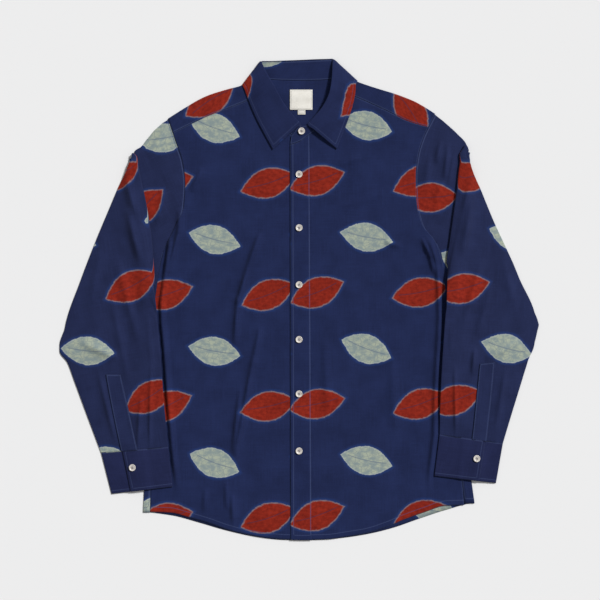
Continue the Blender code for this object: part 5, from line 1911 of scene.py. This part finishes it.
@dataclass
class Buttons:
    """Nine four-hole shell buttons, sewn on with two bars of thread.

    Attributes:
        body: The body whose folds lift the front buttons.
        diameter: Of a button.
        height: Of its rim over its foot.
        hole_ring: Distance of the holes from the middle.
        hole: Depth and radius of a hole.
        thread: Radius of a bar of thread.
        placed: Columns: node, way in plan to which the button leans, turn in degrees.
    """

    body: Body
    diameter: float = 11.3
    height: float = 2.2
    hole_ring: float = 1.45
    hole: Pair = (0.95, 0.62)
    thread: float = 0.34
    placed: Sequence[tuple[str, Pair, float]] = (
        *((f"button_front_{number}", (0.0, 0.0), 37.0 * number) for number in range(1, 7)),
        ("button_stand", (0.0, -1.0), 20.0),
        ("button_cuff_right", (-1.0, 0.0), 12.0),
        ("button_cuff_left", (1.0, 0.0), 63.0),
    )

    def face(self) -> Array:
        """Rings of a button: a splined profile carried round, with four round pits in its face.

        Each pit lowers the face by d·exp(-(r/a)^6) at distance r from the hole's middle.

        Returns:
            Grid of points, rings from the middle of the foot over the rim to the middle of the face.
        """
        radius, top = self.diameter / 2, self.height
        profile = [
            (0.2, 0.0), (radius * 0.7, 0.0), (radius * 0.93, 0.3), (radius, 1.0),
            (radius * 0.985, top * 0.86), (radius * 0.93, top), (radius * 0.84, top * 0.97),
            (radius * 0.72, top * 0.74), (radius * 0.60, top * 0.64), (radius * 0.3, top * 0.63),
            (0.12, top * 0.64),
        ]
        shares = np.concatenate([np.linspace(0.0, 0.45, 12), np.linspace(0.46, 1.0, 34)])
        line = spline(profile, shares)
        angles = np.linspace(0.0, 2 * math.pi, 57)[:-1]
        x = line[:, :1] * np.cos(angles)
        y = line[:, :1] * np.sin(angles)
        z = np.repeat(line[:, 1:], len(angles), axis=1)
        on_face = (shares > 0.5)[:, None]
        for quarter in range(4):
            centre = math.pi / 4 + quarter * math.pi / 2
            away = np.hypot(x - self.hole_ring * math.cos(centre), y - self.hole_ring * math.sin(centre))
            z = z - on_face * self.hole[0] * np.exp(-((away / self.hole[1]) ** 6))
        return np.stack([x, y, z], axis=-1)

    def bar(self, sign: int) -> Array:
        """Rings of one bar of thread: a circle carried over an arch from hole to hole.

        Args:
            sign: Which pair of holes.

        Returns:
            Grid of points.
        """
        t = np.linspace(0.0, math.pi, 15)[:, None]
        angles = np.linspace(0.0, 2 * math.pi, 11)[:-1][None]
        reach = self.hole_ring * math.sqrt(0.5)
        radius = self.thread * np.clip(np.sin(t) * 4.0, 0.05, 1.0)
        flare = 1.0 + 0.08 * np.sin(6 * t)
        x = np.cos(t) * (reach + radius * np.cos(angles) * 0.9) * flare
        y = sign * reach + radius * np.sin(angles)
        z = self.height * 0.42 + np.sin(t) * (self.height * 0.42 + radius * np.cos(angles))
        return np.stack([x, y + 0 * x, z], axis=-1)

    def mesh(self, name: str, materials: Sequence[Material]) -> bpy.types.Mesh:
        """Mesh of one button with its thread, each closed by a pole at both ends.

        Args:
            name: Mesh's name.
            materials: Shell and thread.

        Returns:
            The mesh, its foot at the origin.
        """
        points, faces, slots = [], [], []
        offset = 0
        for slot, rings in ((0, self.face()), (1, self.bar(1)), (1, self.bar(-1))):
            rows, cols = rings.shape[:2]
            index = offset + np.arange(rows * cols).reshape(rows, cols)
            after = np.roll(index, -1, axis=1)
            quads = np.stack([index[:-1], after[:-1], after[1:], index[1:]], axis=-1).reshape(-1, 4).tolist()
            foot, crown = offset + rows * cols, offset + rows * cols + 1
            fans = [(foot, int(b), int(a)) for a, b in zip(index[0], after[0])]
            fans += [(int(a), int(b), crown) for a, b in zip(index[-1], after[-1])]
            ends = np.stack([rings[0].mean(axis=0), rings[-1].mean(axis=0)])
            points.append(np.concatenate([rings.reshape(-1, 3), ends]))
            faces += quads + fans
            slots += [slot] * (len(quads) + len(fans))
            offset += rows * cols + 2
        points = np.concatenate(points)
        mesh = bpy.data.meshes.new(name)
        mesh.from_pydata((points * MM).tolist(), [], faces)
        corner = np.zeros(len(mesh.loops), dtype=np.int32)
        mesh.loops.foreach_get("vertex_index", corner)
        layer = mesh.uv_layers.new(name="Cloth")
        layer.data.foreach_set("uv", (points[corner][:, :2] * MM).astype(np.float32).reshape(-1))
        for material in materials:
            mesh.materials.append(material)
        mesh.polygons.foreach_set("material_index", np.array(slots, dtype=np.int32))
        mesh.polygons.foreach_set("use_smooth", np.ones(len(faces), dtype=bool))
        mesh.update()
        return mesh

    def seats(self) -> list[tuple[str, Array, Array, float]]:
        """Where each button's foot stands, from the boxes of the solids.

        Returns:
            Node, foot, unit direction out of the cloth, and turn about it in degrees.
        """
        result = []
        for node, toward, turn in self.placed:
            low, high = (np.array(corner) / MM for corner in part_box(node))
            slope = max(high[2] - low[2] - self.height, 0.0) / self.diameter
            lean = np.array([toward[0] * slope, toward[1] * slope, 1.0])
            normal = lean / np.linalg.norm(lean)
            foot = (low + high) / 2 - normal * self.height / 2
            if node.startswith("button_front"):
                foot[2] += float(self.body.relief((low[None, :2] + high[None, :2]) / 2)[0])
            result.append((node, foot, normal, turn))
        return result

    def build(self) -> list[Object]:
        """Make and dress the nine buttons.

        Returns:
            The buttons.
        """
        materials = (ButtonShell("button shell").build(), SewingThread("button thread").build())
        shared = self.mesh("shell_button", materials)
        count = len(shared.vertices)
        local = np.empty(count * 3)
        shared.vertices.foreach_get("co", local)
        pieces = []
        for node, foot, normal, turn in self.seats():
            spin = Vector((0.0, 0.0, 1.0)).rotation_difference(Vector(normal)).to_matrix()
            angle = math.radians(turn)
            cos, sin = math.cos(angle), math.sin(angle)
            flat = np.array([[cos, -sin, 0], [sin, cos, 0], [0, 0, 1]])
            placed = local.reshape(-1, 3) @ (np.array(spin) @ flat).T + foot * MM
            mesh = shared.copy()
            mesh.name = "shell_" + node
            mesh.vertices.foreach_set("co", placed.reshape(-1))
            mesh.update()
            piece = link("shell_" + node, mesh)
            put_in(piece, node)
            pieces.append(piece)
        bpy.data.meshes.remove(shared)
        return pieces


@dataclass
class Studio:
    """Pale floor, even light all round with one soft sun, and a camera straight above.

    Attributes:
        width: Width that the camera takes in, m.
        centre: Where it looks.
        lens: Focal length, mm.
        film: Width of the camera's film, mm.
        floor_tone: The floor's colour.
        floor_half: Half width of the floor, m.
        around: Strength of the even light.
        sun: Strength of the sun.
        sun_angle: Width of the sun's disc, degrees.
        sun_way: Direction in which its light goes.
    """

    width: float = 0.99
    centre: Pair = (-0.0005, -0.0006)
    lens: float = 110.0
    film: float = 36.0
    floor_tone: Colour = (0.787, 0.787, 0.79)
    floor_half: float = 6.0
    around: float = 0.33
    sun: float = 3.3
    sun_angle: float = 10.0
    sun_way: tuple[float, float, float] = (-1.0, -0.9, -1.35)

    def floor(self) -> None:
        """Make the floor and its finish."""
        half = self.floor_half
        corners = [(-half, -half, 0.0), (half, -half, 0.0), (half, half, 0.0), (-half, half, 0.0)]
        mesh = bpy.data.meshes.new("floor")
        mesh.from_pydata(corners, [], [(0, 1, 2, 3)])
        bench = Bench("pale floor", 0.9)
        bench.dress({"Base Color": self.floor_tone, "Specular IOR Level": 0.1})
        mesh.materials.append(bench.material)
        link("floor", mesh)

    def lights(self) -> None:
        """Make the even surrounding light and the sun."""
        world = bpy.data.worlds.new("studio")
        world.use_nodes = True
        background = world.node_tree.nodes["Background"]
        background.inputs["Color"].default_value = (1.0, 1.0, 1.0, 1.0)
        background.inputs["Strength"].default_value = self.around
        bpy.context.scene.world = world
        lamp = bpy.data.lights.new("key", "SUN")
        lamp.energy = self.sun
        lamp.angle = math.radians(self.sun_angle)
        obj = link("key", lamp)
        obj.rotation_mode = "QUATERNION"
        obj.rotation_quaternion = Vector(self.sun_way).to_track_quat("-Z", "Y")

    def camera(self) -> None:
        """Make the camera and set it as the scene's."""
        data = bpy.data.cameras.new("camera")
        data.lens = self.lens
        data.sensor_width = self.film
        obj = link("camera", data)
        obj.location = (*self.centre, self.width * self.lens / self.film)
        bpy.context.scene.camera = obj

    def build(self) -> None:
        """Make floor, lights and camera."""
        self.floor()
        self.lights()
        self.camera()
        bpy.context.scene.view_settings.view_transform = "Standard"


# What differs between the two sleeves, by the names of a sleeve's fields.
SLEEVES = {
    Side.RIGHT: dict(
        upper=(
            (-218.3, 298.7, -229.0, 80.5, 1.0), (-241.0, 277.5, -232.0, 57.0, 0.3),
            (-261.5, 255.5, -235.0, 27.0, 0.08), (-281.0, 233.0, -241.5, -8.0, 0.0),
        ),
        pleat=(-275.0, 241.5, -242.0, 24.0, 0.2),
        lower=(
            (-288.5, 215.0, -240.5, 12.0, 0.1), (-310.0, 164.0, -237.5, -6.0, 0.0),
            (-350.0, 65.0, -234.5, -40.0, 0.0), (-395.0, -66.0, -230.5, -80.0, 0.0),
            (-381.5, -110.0, -228.0, -115.0, 0.0), (-356.0, -180.0, -224.0, -170.0, 0.0),
            (-328.5, -253.5, -217.5, -243.5, 0.0),
        ),
        cuff=(-311.4, -320.3, -210.5, -308.1),
        cuff_lap=(0.31, 0.56),
        placket_shares=((0.296, 0.545), (0.38, 0.546)),
        elbow=(
            (-104.0, 0.0, 285.0, 100.0), (-72.0, 2.6, 285.0, 100.0), (-66.0, 2.0, 285.0, 100.0),
            (-50.0, -1.2, 285.0, 100.0), (40.0, 0.0, 285.0, 60.0), (185.0, -1.0, 257.0, 40.0),
            (195.0, -1.8, 256.0, 36.0), (200.0, -2.6, 255.0, 32.0), (210.0, -3.1, 253.0, 32.0),
            (220.0, -1.9, 250.0, 32.0), (236.0, -1.5, 245.0, 32.0), (240.0, 1.3, 245.0, 32.0),
            (245.0, 4.4, 245.0, 22.0), (248.0, 2.2, 245.0, 22.0), (251.0, -1.4, 240.0, 22.0),
            (256.0, -2.0, 240.0, 20.0), (262.0, -0.6, 238.0, 16.0), (271.0, 0.0, 236.0, 12.0),
            (276.0, 1.2, 234.0, 9.0), (281.0, 2.2, 231.0, 8.0), (286.0, 2.6, 226.0, 8.0),
            (291.0, 4.6, 221.0, 8.0), (296.0, 3.4, 218.0, 8.0), (302.0, 0.0, 218.0, 8.0),
        ),
        anchor=((-278.0, 22.0), (-262.0, 150.0)),
        turn=(9.5, 24.0),
        folds=Folds(
            (
                (-285.0, 150.0, -266.0, 70.0, 8.0, 2.2), (-300.0, 60.0, -266.0, -70.0, 9.0, 2.0),
                (-330.0, 90.0, -345.0, -10.0, 9.0, 1.8), (-245.0, -108.0, -248.0, -246.0, 3.2, 2.6),
                (-262.0, -160.0, -268.0, -246.0, 4.0, 1.8), (-362.0, -70.0, -300.0, -96.0, 9.0, 2.4),
                (-332.0, -120.0, -304.0, -236.0, 6.0, 2.2), (-250.0, -30.0, -242.0, -120.0, 6.0, 2.0),
                (-290.0, 205.0, -270.0, 140.0, 6.0, 1.8), (-310.0, 0.0, -282.0, -140.0, 8.0, 1.4),
            ),
            2.4,
        ),
    ),
    Side.LEFT: dict(
        upper=(
            (222.3, 306.7, 225.5, 95.5, 1.0), (245.0, 286.5, 233.5, 73.0, 0.3),
            (263.5, 268.5, 237.0, 35.0, 0.08), (281.0, 243.0, 242.5, -10.0, 0.0),
        ),
        pleat=(270.0, 254.5, 243.0, 58.0, 0.0),
        lower=(
            (282.5, 222.0, 242.0, 38.0, 0.0), (299.0, 181.0, 241.0, 10.0, 0.0),
            (319.0, 131.0, 240.0, -14.0, 0.0), (346.0, 71.0, 238.0, -30.0, 0.0),
            (393.0, -42.0, 234.5, -80.0, 0.0), (379.0, -92.0, 232.5, -110.0, 0.0),
            (356.0, -165.0, 230.0, -165.0, 0.0), (334.0, -238.0, 228.9, -223.0, 0.0),
        ),
        cuff=(322.7, -302.5, 220.6, -290.3),
        cuff_lap=(0.27, 0.54),
        placket_shares=((0.253, 0.488), (0.40, 0.569)),
        elbow=(
            (-110.0, 0.0, 290.0, 100.0), (-72.0, -3.0, 290.0, 100.0), (-50.0, 0.6, 290.0, 100.0),
            (-42.0, 2.6, 290.0, 100.0), (-22.0, -2.8, 290.0, 100.0), (60.0, 0.0, 285.0, 60.0),
            (176.0, -1.0, 256.0, 36.0), (186.0, -1.4, 254.0, 32.0), (196.0, -2.2, 252.0, 32.0),
            (205.0, -2.8, 250.0, 32.0), (215.0, -2.6, 249.0, 32.0), (225.0, -1.3, 248.0, 32.0),
            (230.0, -2.2, 247.0, 32.0), (235.0, -3.8, 247.0, 32.0), (240.0, -4.4, 247.0, 30.0),
            (243.0, -2.6, 247.0, 30.0), (245.3, -0.1, 246.0, 29.0), (250.0, 2.3, 246.0, 28.0),
            (255.0, 3.1, 244.0, 24.0), (260.0, 3.0, 242.0, 22.0), (270.0, 0.0, 240.0, 18.0),
            (291.0, 0.0, 234.0, 9.0), (296.0, 1.2, 231.0, 8.0), (301.0, 2.6, 226.0, 8.0),
            (305.0, 4.2, 222.0, 8.0), (309.0, 2.0, 222.0, 8.0), (312.0, 0.0, 222.0, 8.0),
        ),
        anchor=((266.0, 18.0), (214.0, 168.0)),
        turn=(-4.0, -14.0),
        folds=Folds(
            (
                (285.0, 175.0, 268.0, 80.0, 8.0, 2.2), (300.0, 70.0, 266.0, -50.0, 9.0, 2.0),
                (335.0, 70.0, 352.0, -10.0, 9.0, 1.8), (253.6, -110.0, 256.0, -226.0, 3.2, 2.6),
                (287.0, -82.0, 283.0, -122.0, 4.0, 2.6), (246.0, -45.0, 247.0, -92.0, 3.5, 2.0),
                (360.0, -66.0, 305.0, -100.0, 9.0, 2.4), (338.0, -116.0, 322.0, -216.0, 6.0, 2.2),
                (288.0, 220.0, 268.0, 150.0, 6.0, 1.8), (314.0, 20.0, 290.0, -60.0, 8.0, 1.6),
            ),
            2.4,
        ),
    ),
}


def main() -> None:
    """Build the shirt's sub-assemblies in order and set up the studio."""
    logging.basicConfig(level=logging.INFO, format="%(name)s: %(message)s")
    neck = NeckLine()
    body = Body(neck)
    pieces = body.build()
    pieces += Collar(neck).build()
    for side, sizes in SLEEVES.items():
        pieces += Sleeve(side, body, **sizes).build()
    pieces += NeckLabel(neck).build()
    pieces += Buttons(body).build()
    Studio().build()
    LOG.info("%d pieces", len(pieces))


if __name__ == "__main__":
    main()
